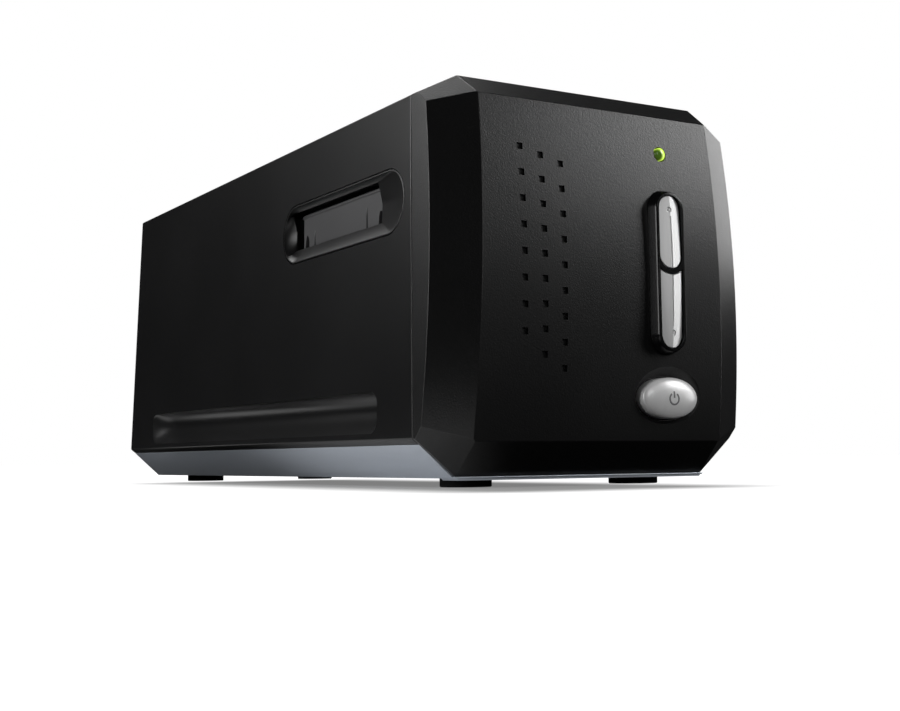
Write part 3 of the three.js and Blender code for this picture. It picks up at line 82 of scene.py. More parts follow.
# Sides of a small round form
ROUND_STEPS = 40
# Points nearer to each other than this, in metres, are one point
WELD_REACH = MM / 1000


def up_the_side(z, low, high):
    """A measure that changes evenly from the side's lower corner to its upper one."""
    rise = (z - SIDE_LOW[1]) / (SIDE_HIGH[1] - SIDE_LOW[1])
    return low + (high - low) * rise


def side_half(z):
    return up_the_side(z, SIDE_LOW[0], SIDE_HIGH[0])


def seam_y(z):
    return up_the_side(z, SEAM_LOW_Y, SEAM_HIGH_Y)


def rear_y(z):
    return up_the_side(z, REAR_LOW_Y, REAR_HIGH_Y)


def face_y(z):
    return FACE_Y + FACE_RADIUS - math.sqrt(FACE_RADIUS**2 - (z - FACE_MIDDLE_Z) ** 2)


# Camera at the photograph's place, fitted to the object's own corners
def make_camera():
    place = Vector((-248.96, -459.61, 8.35)) * MM
    yaw = 0.53651
    pitch = 0.07529
    roll = -0.01106
    forward = Vector((math.sin(yaw) * math.cos(pitch), math.cos(yaw) * math.cos(pitch), math.sin(pitch)))
    level_right = Vector((math.cos(yaw), -math.sin(yaw), 0))
    level_up = level_right.cross(forward)
    right = level_right * math.cos(roll) + level_up * math.sin(roll)
    up = level_up * math.cos(roll) - level_right * math.sin(roll)
    data = bpy.data.cameras.new("camera")
    data.sensor_width = 36
    data.lens = 55.046
    data.clip_start = 0.01
    data.clip_end = 50
    camera = bpy.data.objects.new("camera", data)
    rotation = Matrix((right, up, -forward)).transposed().to_4x4()
    camera.matrix_world = Matrix.Translation(place) @ rotation
    bpy.context.collection.objects.link(camera)
    bpy.context.scene.camera = camera


# Mesh helpers


def new_object(name, mesh):
    piece = bpy.data.objects.new(name, mesh)
    bpy.context.collection.objects.link(piece)
    return piece


def mesh_object(name, points, faces):
    mesh = bpy.data.meshes.new(name)
    mesh.from_pydata([Vector(point) * MM for point in points], [], faces)
    build = bmesh.new()
    build.from_mesh(mesh)
    bmesh.ops.recalc_face_normals(build, faces=build.faces)
    build.to_mesh(mesh)
    build.free()
    return new_object(name, mesh)


def loft(name, sections):
    """A closed skin through rings that all have the same number of points."""
    count = len(sections[0])
    points = [point for section in sections for point in section]
    faces = [tuple(range(count)), tuple(range(len(points) - count, len(points)))]
    for row in range(len(sections) - 1):
        for start in range(count):
            end = (start + 1) % count
            low = row * count
            faces.append((low + start, low + end, low + count + end, low + count + start))
    return mesh_object(name, points, faces)


def upright(outline, y):
    return [(x, y, z) for x, z in outline]


def arc(across, up, radius_across, radius_up, start, end, steps):
    angles = [start + (end - start) * index / steps for index in range(steps + 1)]
    return [(across + radius_across * math.cos(a), up + radius_up * math.sin(a)) for a in angles]


def oval(x, z, half_width, half_height, steps=64):
    return arc(x, z, half_width, half_height, 0, 2 * math.pi, steps)[1:]


def pill(x, low, high, half, steps=20):
    top = arc(x, high - half, half, half, 0, math.pi, steps)
    return top + arc(x, low + half, half, half, math.pi, 2 * math.pi, steps)


def apply_modifiers(piece):
    """Bakes the modifiers of a new piece into its own mesh."""
    shown = piece.evaluated_get(bpy.context.evaluated_depsgraph_get())
    mesh = bpy.data.meshes.new_from_object(shown)
    piece.modifiers.clear()
    piece.data = mesh
    return piece


def boolean(piece, other, operation):
    step = piece.modifiers.new("boolean", "BOOLEAN")
    step.operation = operation
    step.solver = "EXACT"
    step.object = other
    apply_modifiers(piece)
    bpy.data.objects.remove(other, do_unlink=True)
    return piece


def cut(piece, *cutters):
    for cutter in cutters:
        boolean(piece, cutter, "DIFFERENCE")
    return piece


def trim(build, corners, inside):
    """Cuts a convex solid by the plane through three points and closes the cut."""
    first, second, third = [Vector(corner) * MM for corner in corners]
    normal = (second - first).cross(third - first).normalized()
    if normal.dot(Vector(inside) * MM - first) > 0:
        normal.negate()
    everything = build.verts[:] + build.edges[:] + build.faces[:]
    bmesh.ops.bisect_plane(build, geom=everything, plane_co=first, plane_no=normal, clear_outer=True)
    open_edges = [edge for edge in build.edges if edge.is_boundary]
    bmesh.ops.contextual_create(build, geom=open_edges)


def soften(piece, width, angle, segments=3):
    """Rounds the sharp edges of a piece, so that they catch the light."""
    weld = piece.modifiers.new("weld", "WELD")
    weld.merge_threshold = WELD_REACH
    bevel = piece.modifiers.new("bevel", "BEVEL")
    bevel.width = width * MM
    bevel.segments = segments
    bevel.limit_method = "ANGLE"
    bevel.angle_limit = math.radians(angle)
    bevel.miter_outer = "MITER_ARC"
    bevel.use_clamp_overlap = True
    return piece


def smooth_by_angle(piece, angle):
    piece.data.shade_smooth()
    build = bmesh.new()
    build.from_mesh(piece.data)
    limit = math.radians(angle)
    for edge in build.edges:
        edge.smooth = len(edge.link_faces) == 2 and edge.calc_face_angle(0) < limit
    build.to_mesh(piece.data)
    build.free()
    return piece


# Materials


def new_material(name, color, roughness, metallic=0.0, specular=0.5):
    material = bpy.data.materials.new(name)
    material.use_nodes = True
    shader = material.node_tree.nodes["Principled BSDF"]
    shader.inputs["Base Color"].default_value = (*color, 1)
    shader.inputs["Roughness"].default_value = roughness
    shader.inputs["Metallic"].default_value = metallic
    shader.inputs["Specular IOR Level"].default_value = specular
    return material, shader


def add_noise(material, scale, detail, roughness=0.5):
    """Noise in the piece's own space, with a number of specks per metre along each axis."""
    tree = material.node_tree
    coordinates = tree.nodes.new("ShaderNodeTexCoord")
    mapping = tree.nodes.new("ShaderNodeMapping")
    texture = tree.nodes.new("ShaderNodeTexNoise")
    mapping.inputs["Scale"].default_value = scale
    texture.inputs["Scale"].default_value = 1
    texture.inputs["Detail"].default_value = detail
    texture.inputs["Roughness"].default_value = roughness
    tree.links.new(coordinates.outputs["Object"], mapping.inputs["Vector"])
    tree.links.new(mapping.outputs["Vector"], texture.inputs["Vector"])
    return texture


def even_scale(size):
    """The scale of a noise whose specks have one size, in millimetres, along all axes."""
    return (1 / (size * MM),) * 3


def add_grain(material, shader, texture, strength, distance):
    """Drives the bump of a surface from a texture."""
    bump = material.node_tree.nodes.new("ShaderNodeBump")
    bump.inputs["Strength"].default_value = strength
    bump.inputs["Distance"].default_value = distance * MM
    material.node_tree.links.new(texture.outputs["Fac"], bump.inputs["Height"])
    material.node_tree.links.new(bump.outputs["Normal"], shader.inputs["Normal"])


def vary(material, texture, socket, low, high):
    """Lets a texture move a shader value between two ends."""
    spread = material.node_tree.nodes.new("ShaderNodeMapRange")
    spread.inputs["To Min"].default_value = low
    spread.inputs["To Max"].default_value = high
    material.node_tree.links.new(texture.outputs["Fac"], spread.inputs["Value"])
    material.node_tree.links.new(spread.outputs["Result"], socket)


def vary_color(material, texture, shader, low, high):
    mix = material.node_tree.nodes.new("ShaderNodeMix")
    mix.data_type = "RGBA"
    mix.inputs["A"].default_value = (*low, 1)
    mix.inputs["B"].default_value = (*high, 1)
    material.node_tree.links.new(texture.outputs["Fac"], mix.inputs["Factor"])
    material.node_tree.links.new(mix.outputs["Result"], shader.inputs["Base Color"])


def ramp(tree, value, reach, ends):
    """A smooth change from one tone to another as a value runs through its reach."""
    step = tree.nodes.new("ShaderNodeMapRange")
    step.interpolation_type = "SMOOTHSTEP"
    for name, bound in zip(("From Min", "From Max", "To Min", "To Max"), (*reach, *ends)):
        step.inputs[name].default_value = bound
    tree.links.new(value, step.inputs["Value"])
    return step.outputs["Result"]


def vector_step(tree, operation, first, second=(0, 0, 0)):
    """One step of vector arithmetic between a socket and a fixed vector."""
    step = tree.nodes.new("ShaderNodeVectorMath")
    step.operation = operation
    step.inputs[1].default_value = second
    tree.links.new(first, step.inputs[0])
    return step.outputs["Value" if operation in ("DISTANCE", "DOT_PRODUCT", "LENGTH") else "Vector"]


# Size of the patches of uneven tone in a moulding
UNEVEN_SIZE = 40


def moulded(name, color, roughness, grain_size, grain_height, specular):
    """Moulded plastic: a fine spark-eroded grain over faint unevenness of tone, sizes in millimetres."""
    material, shader = new_material(name, color, roughness, specular=specular)
    fine = add_noise(material, even_scale(grain_size), detail=2)
    broad = add_noise(material, even_scale(UNEVEN_SIZE), detail=4)
    add_grain(material, shader, fine, strength=1, distance=grain_height)
    lighter = tuple(channel * 1.25 + 0.001 for channel in color)
    vary_color(material, broad, shader, color, lighter)
    vary(material, broad, shader.inputs["Roughness"], roughness * 0.9, roughness * 1.1)
    return material


def satin_metal(name, color, roughness, scale, metallic):
    """Satin metal or metallic paint: long faint brush marks in tone and roughness."""
    material, shader = new_material(name, color, roughness, metallic=metallic)
    marks = add_noise(material, scale, detail=6, roughness=0.65)
    lighter = tuple(min(1, channel * 1.12) for channel in color)
    vary_color(material, marks, shader, color, lighter)
    vary(material, marks, shader.inputs["Roughness"], roughness * 0.8, roughness * 1.2)
    add_grain(material, shader, marks, strength=0.05, distance=0.02)
    return material


# Housing


def face_plane(point_a, point_b):
    """Three points of the plane that runs along X through two points of the side view."""
    return [(0, *point_a), (OVERRUN, *point_a), (0, *point_b)]


def long_plane(point_a, point_b):
    """Three points of the plane that runs along Y through two points of the cross-section."""
    return [(point_a[0], 0, point_a[1]), (point_a[0], OVERRUN, point_a[1]), (point_b[0], 0, point_b[1])]


def convex_piece(name, sections, planes, inside):
    """A convex form trimmed by planes, ready for its edges to be rounded."""
    piece = loft(name, sections)
    build = bmesh.new()
    build.from_mesh(piece.data)
    for corners in planes:
        trim(build, corners, inside)
    bmesh.ops.remove_doubles(build, verts=build.verts, dist=WELD_REACH)
    bmesh.ops.dissolve_degenerate(build, edges=build.edges, dist=WELD_REACH)
    bmesh.ops.recalc_face_normals(build, faces=build.faces)
    build.to_mesh(piece.data)
    build.free()
    return piece


def round_edges(piece, width, angle, segments=3):
    soften(piece, width, angle, segments)
    return apply_modifiers(piece)


def finish_shading(piece, angle):
    """Smooth shading that keeps large faces flat."""
    smooth_by_angle(piece, angle)
    weighting = piece.modifiers.new("normals", "WEIGHTED_NORMAL")
    weighting.keep_sharp = True
    weighting.weight = 100
    return apply_modifiers(piece)


def roof_planes():
    planes = []
    for side in (-1, 1):
        planes.append(long_plane((side * SIDE_HIGH[0], SIDE_HIGH[1]), (side * ROOF_HALF, ROOF_Z)))
    planes.append([(0, 0, ROOF_Z), (OVERRUN, 0, ROOF_Z), (0, OVERRUN, ROOF_Z)])
    return planes


def bezel_form():
    """The bulged front frame: plans stacked up the face's arc, trimmed by the facets all round."""
    steps = 60
    low = FLOOR_Z - OVERRUN
    high = ROOF_Z + OVERRUN
    back = SEAM_HIGH_Y + OVERRUN
    sections = []
    for index in range(steps + 1):
        z = low + (high - low) * index / steps
        half = side_half(z)
        front = face_y(z)
        plan = [
            (half, back),
            (-half, back),
            (-half, front + BAND_DEPTH),
            (FACE_INSET - half, front),
            (half - FACE_INSET, front),
            (half, front + BAND_DEPTH),
        ]
        sections.append([(x, y, z) for x, y in plan])
    planes = roof_planes()
    planes.append([(0, 0, FLOOR_Z), (OVERRUN, 0, FLOOR_Z), (0, OVERRUN, FLOOR_Z)])
    planes.append(face_plane((TOP_EDGE_Y, ROOF_Z), TOP_FACE_EDGE))
    planes.append(face_plane((FLOOR_EDGE_Y, FLOOR_Z), FLOOR_FACE_EDGE))
    planes.append(face_plane((seam_y(FLOOR_Z), FLOOR_Z), (seam_y(ROOF_Z), ROOF_Z)))
    for side in (-1, 1):
        planes.append(long_plane((side * SIDE_LOW[0], SIDE_LOW[1]), (side * FLOOR_HALF, FLOOR_Z)))
        planes.append(
            [
                (side * ROOF_HALF, TOP_EDGE_Y, ROOF_Z),
                (side * UPPER_CORNER_HALF, *TOP_FACE_EDGE),
                (side * side_half(UPPER_CORNER_SIDE[1]), *UPPER_CORNER_SIDE),
            ]
        )
        planes.append(
            [
                (side * FLOOR_HALF, FLOOR_EDGE_Y, FLOOR_Z),
                (side * LOWER_CORNER_HALF, *FLOOR_FACE_EDGE),
                (side * side_half(LOWER_CORNER_SIDE[1]), *LOWER_CORNER_SIDE),
            ]
        )
    return convex_piece("bezel_front", sections, planes, (0, (SEAM_LOW_Y + FACE_Y) / 2, FACE_MIDDLE_Z))


# Square dimples: each column has its place across, its top, its pitch and its count
DIMPLE_SIZE = 2.2
DIMPLE_DEPTH = 0.8
DIMPLE_TAPER = 0.12
DIMPLE_COLUMNS = [(-29.53, 99.0, 7.735, 8), (-22.51, 97.0, 7.334, 9), (-15.53, 95.0, 7.566, 9)]
# What sits in the face: ovals are half-width and half-height, and the collar's base and rim are half-widths
POWER = {"x": 23.66, "z": 26.27, "well": (12.7, 8.8), "well_depth": 2, "cap": (10.6, 6.3), "crown": 2.2}
POWER_EDGE_PROUD = 0.9
POWER_CAP_DEPTH = 5
LED = {"x": 22.78, "z": 101.96, "hole": 2.4, "radius": 2.0, "dome": 0.7, "depth": 6}
COLLAR = {"x": 22.36, "base": 6.25, "rim": 5.25, "low": 40.29, "high": 89.27, "proud": 3.5, "bar": 1.5}
COLLAR_DEPTH = 4
RUNNING_GAP = 0.3
HOLLOW_DEPTH = 9
BEZEL_ROUND = 0.8


def dimple_cutter():
    """All the square dimples as one cutter, a little narrower at the bottom."""
    points = []
    faces = []
    for x, top, pitch, count in DIMPLE_COLUMNS:
        for index in range(count):
            z = top - index * pitch
            front = face_y(z) - OVERRUN
            back = face_y(z) + DIMPLE_DEPTH
            first = len(points)
            for y, half in ((front, DIMPLE_SIZE / 2), (back, DIMPLE_SIZE / 2 - DIMPLE_TAPER)):
                points += [(x - half, y, z - half), (x + half, y, z - half)]
                points += [(x + half, y, z + half), (x - half, y, z + half)]
            faces.append(tuple(range(first, first + 4)))
            faces.append(tuple(range(first + 4, first + 8)))
            for corner in range(4):
                after = (corner + 1) % 4
                faces.append((first + corner, first + after, first + 4 + after, first + 4 + corner))
    return mesh_object("dimple_cutter", points, faces)


def power_well_cutter():
    y = face_y(POWER["z"])
    cap = POWER["cap"][0] + RUNNING_GAP
    slope = (POWER["well"][0] - cap) / POWER["well_depth"]
    rings = []
    for depth in (-OVERRUN, 0, POWER["well_depth"] / 2, POWER["well_depth"]):
        half_width, half_height = [half - depth * slope for half in POWER["well"]]
        rings.append(upright(oval(POWER["x"], POWER["z"], half_width, half_height), y + depth))
    bore = oval(POWER["x"], POWER["z"], cap, POWER["cap"][1] + RUNNING_GAP)
    rings.append(upright(bore, y + POWER["well_depth"]))
    rings.append(upright(bore, y + HOLLOW_DEPTH))
    return loft("well_cutter", rings)


def round_bar(x, z, radius, front, back, steps=ROUND_STEPS):
    circle = oval(x, z, radius, radius, steps)
    return loft("round_bar", [upright(circle, front), upright(circle, back)])


def make_bezel():
    """The front frame with its dimples, the power button's well, the lens hole and the collar's opening."""
    piece = round_edges(bezel_form(), BEZEL_ROUND, angle=9, segments=4)
    y = face_y(LED["z"])
    low = COLLAR["low"] - RUNNING_GAP
    high = COLLAR["high"] + RUNNING_GAP
    neck = pill(COLLAR["x"], low, high, COLLAR["rim"] + RUNNING_GAP)
    cut(
        piece,
        dimple_cutter(),
        power_well_cutter(),
        round_bar(LED["x"], LED["z"], LED["hole"], y - OVERRUN, y + HOLLOW_DEPTH),
        loft("neck_cutter", [upright(neck, FACE_Y - OVERRUN), upright(neck, FACE_Y + HOLLOW_DEPTH)]),
    )
    return finish_shading(piece, angle=25)


# Outline of a film slot's frame, its flat rim, the depth of its dish and the half-width to its inner end
SLOT = {"front": -110.7, "rear": -23.7, "low": 75.2, "high": 95.25, "rim": 0.6, "dish": 3.6, "inner": 49.48}
SLOT_STEPS = 24
GRIP = {"front": -96.2, "rear": 108.6, "low": 16.2, "high": 28.7, "depth": 3.8, "corner": 4}
# Wall behind a grip, as a share of the wall of the shell
GRIP_WALL_SHARE = 0.8
# How far the floor of a grip takes to sink in at its front and at its rear end
GRIP_RUNS = (5, 16)
# Where a grip is deepest, as a share of its height
GRIP_DEEPEST_SHARE = 0.6
SHELL_LIP_DROP = 5
SHELL_LIP_DEPTH = 7
SHELL_ROUND = 0.5
REAR_FACETS = 8


def slot_outline(margin):
    half = (SLOT["high"] - SLOT["low"]) / 2
    middle = (SLOT["high"] + SLOT["low"]) / 2
    radius = half + margin
    rear = arc(SLOT["rear"] - half, middle, radius, radius, -math.pi / 2, math.pi / 2, SLOT_STEPS)
    front = arc(SLOT["front"] + half, middle, radius, radius, math.pi / 2, 3 * math.pi / 2, SLOT_STEPS)
    return rear + front


def side_prism(name, outline, inner, outer):
    return loft(name, [[(inner, y, z) for y, z in outline], [(outer, y, z) for y, z in outline]])


def grip_depth_share(share):
    """The hollow's profile upwards: a long rise from the lower edge, then a round roof to the upper one."""
    if share < GRIP_DEEPEST_SHARE:
        return math.sin(math.pi / 2 * share / GRIP_DEEPEST_SHARE)
    beyond = (share - GRIP_DEEPEST_SHARE) / (1 - GRIP_DEEPEST_SHARE)
    return math.sqrt(1 - beyond**2)


def grip_cutter(side, grow=0.0):
    """The long hollow of a grip, which sinks in gently at both ends."""
    low = GRIP["low"] - grow
    high = GRIP["high"] + grow
    front = GRIP["front"] - grow
    rear = GRIP["rear"] + grow
    corner = GRIP["corner"] + grow
    turn = 16
    eased = [1 - math.cos(math.pi / 2 * step / turn) for step in range(1, turn + 1)]
    front_run, rear_run = GRIP_RUNS
    stations = [front + front_run * share for share in eased]
    stations += [rear - rear_run * share for share in reversed(eased)]
    rounds = 24
    heights = [(1 - math.cos(math.pi * step / rounds)) / 2 for step in range(rounds + 1)]
    outer = side * (SIDE_LOW[0] + OVERRUN)
    sections = []
    for y in stations:
        away = min(y - front, rear - y)
        run = front_run if y - front < rear - y else rear_run
        sink = math.sin(math.pi / 2 * min(1.0, away / run))
        pull = corner - math.sqrt(corner**2 - (corner - min(away, corner)) ** 2)
        bottom = low + pull
        top = high - pull
        section = [(outer, y, bottom)]
        for share in heights:
            z = bottom + (top - bottom) * share
            depth = (GRIP["depth"] + grow) * sink * grip_depth_share(share)
            section.append((side * (side_half(z) - depth), y, z))
        section.append((outer, y, top))
        sections.append(section)
    return loft("grip_cutter", sections)


def shell_cavity():
    """The hollow of the shell as a cutter, which leaves a lip under the rear of the roof."""
    low = TRAY_RIM_Z - OVERRUN
    inner = [
        (TRAY_RIM_HALF - WALL, low),
        (TRAY_RIM_HALF - WALL, TRAY_RIM_Z + WALL),
        (SIDE_LOW[0] - WALL, SIDE_LOW[1] + WALL),
        (SIDE_HIGH[0] - WALL, SIDE_HIGH[1] - WALL / 2),
        (ROOF_HALF, ROOF_Z - WALL),
    ]
    hollow = inner + [(-x, z) for x, z in reversed(inner)]
    lip = [(x, min(z, ROOF_Z - WALL - SHELL_LIP_DROP)) for x, z in hollow]
    lip_y = REAR_HIGH_Y - SHELL_LIP_DEPTH
    cavity = loft(
        "cavity_cutter",
        [
            upright(hollow, SEAM_LOW_Y - OVERRUN),
            upright(hollow, lip_y),
            upright(lip, lip_y),
            upright(lip, REAR_LOW_Y + OVERRUN),
        ],
    )
    grip_wall = WALL * GRIP_WALL_SHARE
    return cut(cavity, grip_cutter(-1, grip_wall), grip_cutter(1, grip_wall))


def make_shell():
    """The cover over sides and roof, with a rounded rear edge, both film slots and both grips."""
    right = [(TRAY_RIM_HALF, TRAY_RIM_Z), SIDE_LOW, SIDE_HIGH, (ROOF_HALF, ROOF_Z)]
    profile = right + [(-x, z) for x, z in reversed(right)]
    sections = [upright(profile, SEAM_LOW_Y - OVERRUN), upright(profile, REAR_LOW_Y + OVERRUN)]
    planes = [
        face_plane((seam_y(TRAY_RIM_Z) + SEAM_GAP, TRAY_RIM_Z), (seam_y(ROOF_Z) + SEAM_GAP, ROOF_Z)),
        face_plane((rear_y(TRAY_RIM_Z), TRAY_RIM_Z), (rear_y(ROOF_Z), ROOF_Z)),
    ]
    centre = (rear_y(ROOF_Z) - REAR_RADIUS, ROOF_Z - REAR_RADIUS)
    for step in range(1, REAR_FACETS):
        angle = math.pi / 2 * step / REAR_FACETS
        touch = (centre[0] + REAR_RADIUS * math.cos(angle), centre[1] + REAR_RADIUS * math.sin(angle))
        planes.append(face_plane(touch, (touch[0] - math.sin(angle), touch[1] + math.cos(angle))))
    piece = convex_piece("shell_outer", sections, planes, (0, 0, FACE_MIDDLE_Z))
    round_edges(piece, SHELL_ROUND, angle=20)
    reach = SIDE_LOW[0] + OVERRUN
    slots = side_prism("slot_cutter", slot_outline(SEAM_GAP), -reach, reach)
    cut(piece, shell_cavity(), slots, grip_cutter(-1), grip_cutter(1))
    return finish_shading(piece, angle=25)


# Buttons, status light and feet

PILL_STEPS = 32
# The collar draws in by this much up to this height over the face
COLLAR_FOOT = (0.05, 0.4)
# Rounded shoulder of the collar: how far outside the rim and how far below the top each ring lies
COLLAR_SHOULDER = ((0.3, 0.75), (0.02, 0.2), (-0.3, 0))
COLLAR_ROUND = 0.25

KEY_HALF = 4.05
KEY_SPLIT = 65.78
KEY_MARGIN = COLLAR["rim"] - KEY_HALF
KEY_HIGH = COLLAR["high"] - KEY_MARGIN
KEY_LOW = COLLAR["low"] + KEY_MARGIN
KEY_EDGE_PROUD = 2.4
KEY_RIDGE_PROUD = 3.3
KEY_DEPTH = 7

# Ring mark of a key with the stud in its middle, and the groove that stops short of the mark
MARK_RADIUS = 0.85
MARK_DEPTH = 0.55
STUD_RADIUS = 0.35
STUD_DROP = 0.1
STUD_DEPTH = 1
MARK_SPACE = 2
GROOVE_HALF = 0.3
GROOVE_DEPTH = 0.35
BUTTON_ROUND = 0.3


def collar_ring(half, proud):
    """A pill-shaped ring that follows the bulge of the face."""
    margin = half - COLLAR["rim"]
    outline = pill(COLLAR["x"], COLLAR["low"] - margin, COLLAR["high"] + margin, half, PILL_STEPS)
    return [(x, face_y(z) - proud, z) for x, z in outline]


def upper_key_outline(margin):
    return pill(COLLAR["x"], KEY_SPLIT - margin, KEY_HIGH + margin, KEY_HALF + margin, PILL_STEPS)


def key_block(name, outline, back):
    return loft(name, [upright(outline, FACE_Y - COLLAR["proud"] - OVERRUN), upright(outline, back)])


def lower_key_block(name, margin, back):
    outline = pill(COLLAR["x"], KEY_LOW - margin, KEY_HIGH, KEY_HALF + margin, PILL_STEPS)
    whole = key_block(name, outline, back)
    gap = COLLAR["bar"] + RUNNING_GAP * 2 - margin
    cut(whole, key_block("key_gap", upper_key_outline(gap), back + OVERRUN))
    left = COLLAR["x"] - COLLAR["base"]
    right = COLLAR["x"] + COLLAR["base"]
    low = KEY_SPLIT + KEY_HALF
    high = KEY_HIGH + OVERRUN
    above = [(left, low), (right, low), (right, high), (left, high)]
    return cut(whole, key_block("key_above", above, back + OVERRUN))


def make_collar():
    """The collar with its rounded shoulder and the pockets of both keys."""
    back = FACE_Y - SEAM_GAP + COLLAR_DEPTH
    neck = COLLAR["rim"] - RUNNING_GAP
    outline = pill(COLLAR["x"], COLLAR["low"] + RUNNING_GAP, COLLAR["high"] - RUNNING_GAP, neck, PILL_STEPS)
    draft, foot_height = COLLAR_FOOT
    rings = [
        upright(outline, back),
        [(x, face_y(z) - SEAM_GAP, z) for x, z in outline],
        collar_ring(COLLAR["base"], SEAM_GAP),
        collar_ring(COLLAR["base"] - draft, foot_height),
    ]
    rings += [collar_ring(COLLAR["rim"] + out, COLLAR["proud"] - below) for out, below in COLLAR_SHOULDER]
    piece = loft("collar_moulding", rings)
    reach = back + OVERRUN
    cut(
        piece,
        key_block("upper_pocket", upper_key_outline(RUNNING_GAP), reach),
        lower_key_block("lower_pocket", RUNNING_GAP, reach),
    )
    round_edges(piece, COLLAR_ROUND, angle=40)
    return finish_shading(piece, angle=35)


def ridged_slab():
    """The bulged front of the keys with a low ridge running upwards along its middle."""
    steps = 40
    low = COLLAR["low"] - OVERRUN
    high = COLLAR["high"] + OVERRUN
    left = COLLAR["x"] - COLLAR["base"]
    right = COLLAR["x"] + COLLAR["base"]
    slope = (KEY_RIDGE_PROUD - KEY_EDGE_PROUD) / KEY_HALF
    back = FACE_Y + 3 * OVERRUN
    sections = []
    for index in range(steps + 1):
        z = low + (high - low) * index / steps
        ridge = face_y(z) - KEY_RIDGE_PROUD
        edge = ridge + COLLAR["base"] * slope
        plan = [(left, edge), (COLLAR["x"], ridge), (right, edge), (right, back), (left, back)]
        sections.append([(x, y, z) for x, y in plan])
    return loft("ridged_slab", sections)


def ridge_groove(low, high):
    """A fine groove along the ridge of a key, as a cutter that follows the bulge."""
    plan = [(-GROOVE_HALF, -OVERRUN), (-GROOVE_HALF, 0), (0, GROOVE_DEPTH)]
    plan += [(GROOVE_HALF, 0), (GROOVE_HALF, -OVERRUN)]
    steps = 12
    sections = []
    for index in range(steps + 1):
        z = low + (high - low) * index / steps
        front = face_y(z) - KEY_RIDGE_PROUD
        sections.append([(COLLAR["x"] + across, front + deep, z) for across, deep in plan])
    return loft("ridge_groove", sections)


def make_key(block, mark_x, mark_z, groove):
    """A key with its ringed mark and the groove that runs on from the mark."""
    boolean(block, ridged_slab(), "INTERSECT")
    front = face_y(mark_z) - KEY_RIDGE_PROUD
    ring = round_bar(mark_x, mark_z, MARK_RADIUS, front - OVERRUN, front + MARK_DEPTH)
    stud = round_bar(mark_x, mark_z, STUD_RADIUS, front + STUD_DROP, front + STUD_DEPTH)
    cut(block, ridge_groove(*groove), ring)
    boolean(block, stud, "UNION")
    round_edges(block, BUTTON_ROUND, angle=50)
    return finish_shading(block, angle=14)


def make_keys():
    back = FACE_Y - KEY_EDGE_PROUD + KEY_DEPTH
    upper = key_block("upper_key_cap", upper_key_outline(0), back)
    lower = lower_key_block("lower_key_cap", 0, back)
    upper_mark = (22.04, 83.77)
    lower_mark = (22.7, 46.02)
    make_key(upper, *upper_mark, (KEY_SPLIT - OVERRUN, upper_mark[1] - MARK_SPACE))
    make_key(lower, *lower_mark, (lower_mark[1] + MARK_SPACE, KEY_SPLIT + KEY_HALF))
    return upper, lower


def make_power_cap():
    y = face_y(POWER["z"])
    half_width, half_height = POWER["cap"]
    steps = 14
    outline = oval(POWER["x"], POWER["z"], half_width, half_height)
    rings = [upright(outline, y - POWER_EDGE_PROUD + POWER_CAP_DEPTH)]
    for index in range(steps):
        angle = index / steps * math.pi / 2
        share = math.cos(angle)
        outline = oval(POWER["x"], POWER["z"], half_width * share, half_height * share)
        rings.append(upright(outline, y - POWER_EDGE_PROUD - POWER["crown"] * math.sin(angle)))
    piece = loft("power_cap", rings)
    round_edges(piece, BUTTON_ROUND, angle=50)
    return finish_shading(piece, angle=50)


# Power symbol: its drop below the button's middle, its ring with the angles at which that ends, and its bar
SYMBOL = {"drop": 0.3, "radius": 1.75, "start": 125, "end": 415, "bar_low": 0.3, "bar_high": 2.3}
SYMBOL_WIDTH = 0.5
SYMBOL_PROUD = 0.04
SYMBOL_SUNK = 0.2


def power_symbol():
    """The usual mark of a switch: an open ring with a bar at its gap, laid on the crown."""
    y = face_y(POWER["z"]) - POWER_EDGE_PROUD
    points = []
    faces = []

    def crown_at(x, z):
        across = (x - POWER["x"]) / POWER["cap"][0]
        up = (z - POWER["z"]) / POWER["cap"][1]
        return y - POWER["crown"] * math.sqrt(max(0, 1 - across**2 - up**2))

    def strip(line):
        first = len(points)
        for index, (x, z) in enumerate(line):
            before = line[max(0, index - 1)]
            after = line[min(len(line) - 1, index + 1)]
            along = (after[0] - before[0], after[1] - before[1])
            length = math.hypot(*along)
            across = (-along[1] / length * SYMBOL_WIDTH / 2, along[0] / length * SYMBOL_WIDTH / 2)
            for side in (-1, 1):
                place = (x + side * across[0], z + side * across[1])
                surface = crown_at(*place)
                points.append((place[0], surface - SYMBOL_PROUD, place[1]))
                points.append((place[0], surface + SYMBOL_SUNK, place[1]))
        for index in range(len(line) - 1):
            corner = first + index * 4
            faces.append((corner, corner + 4, corner + 6, corner + 2))
            faces.append((corner + 1, corner + 3, corner + 7, corner + 5))
            faces.append((corner, corner + 1, corner + 5, corner + 4))
            faces.append((corner + 2, corner + 6, corner + 7, corner + 3))
        last = first + (len(line) - 1) * 4
        faces.append((first, first + 2, first + 3, first + 1))
        faces.append((last, last + 1, last + 3, last + 2))

    x = POWER["x"]
    z = POWER["z"] - SYMBOL["drop"]
    start = math.radians(SYMBOL["start"])
    end = math.radians(SYMBOL["end"])
    strip(arc(x, z, SYMBOL["radius"], SYMBOL["radius"], start, end, ROUND_STEPS))
    steps = 5
    rise = (SYMBOL["bar_high"] - SYMBOL["bar_low"]) / steps
    strip([(x, z + SYMBOL["bar_low"] + index * rise) for index in range(steps + 1)])
    return mesh_object("power_symbol", points, faces)


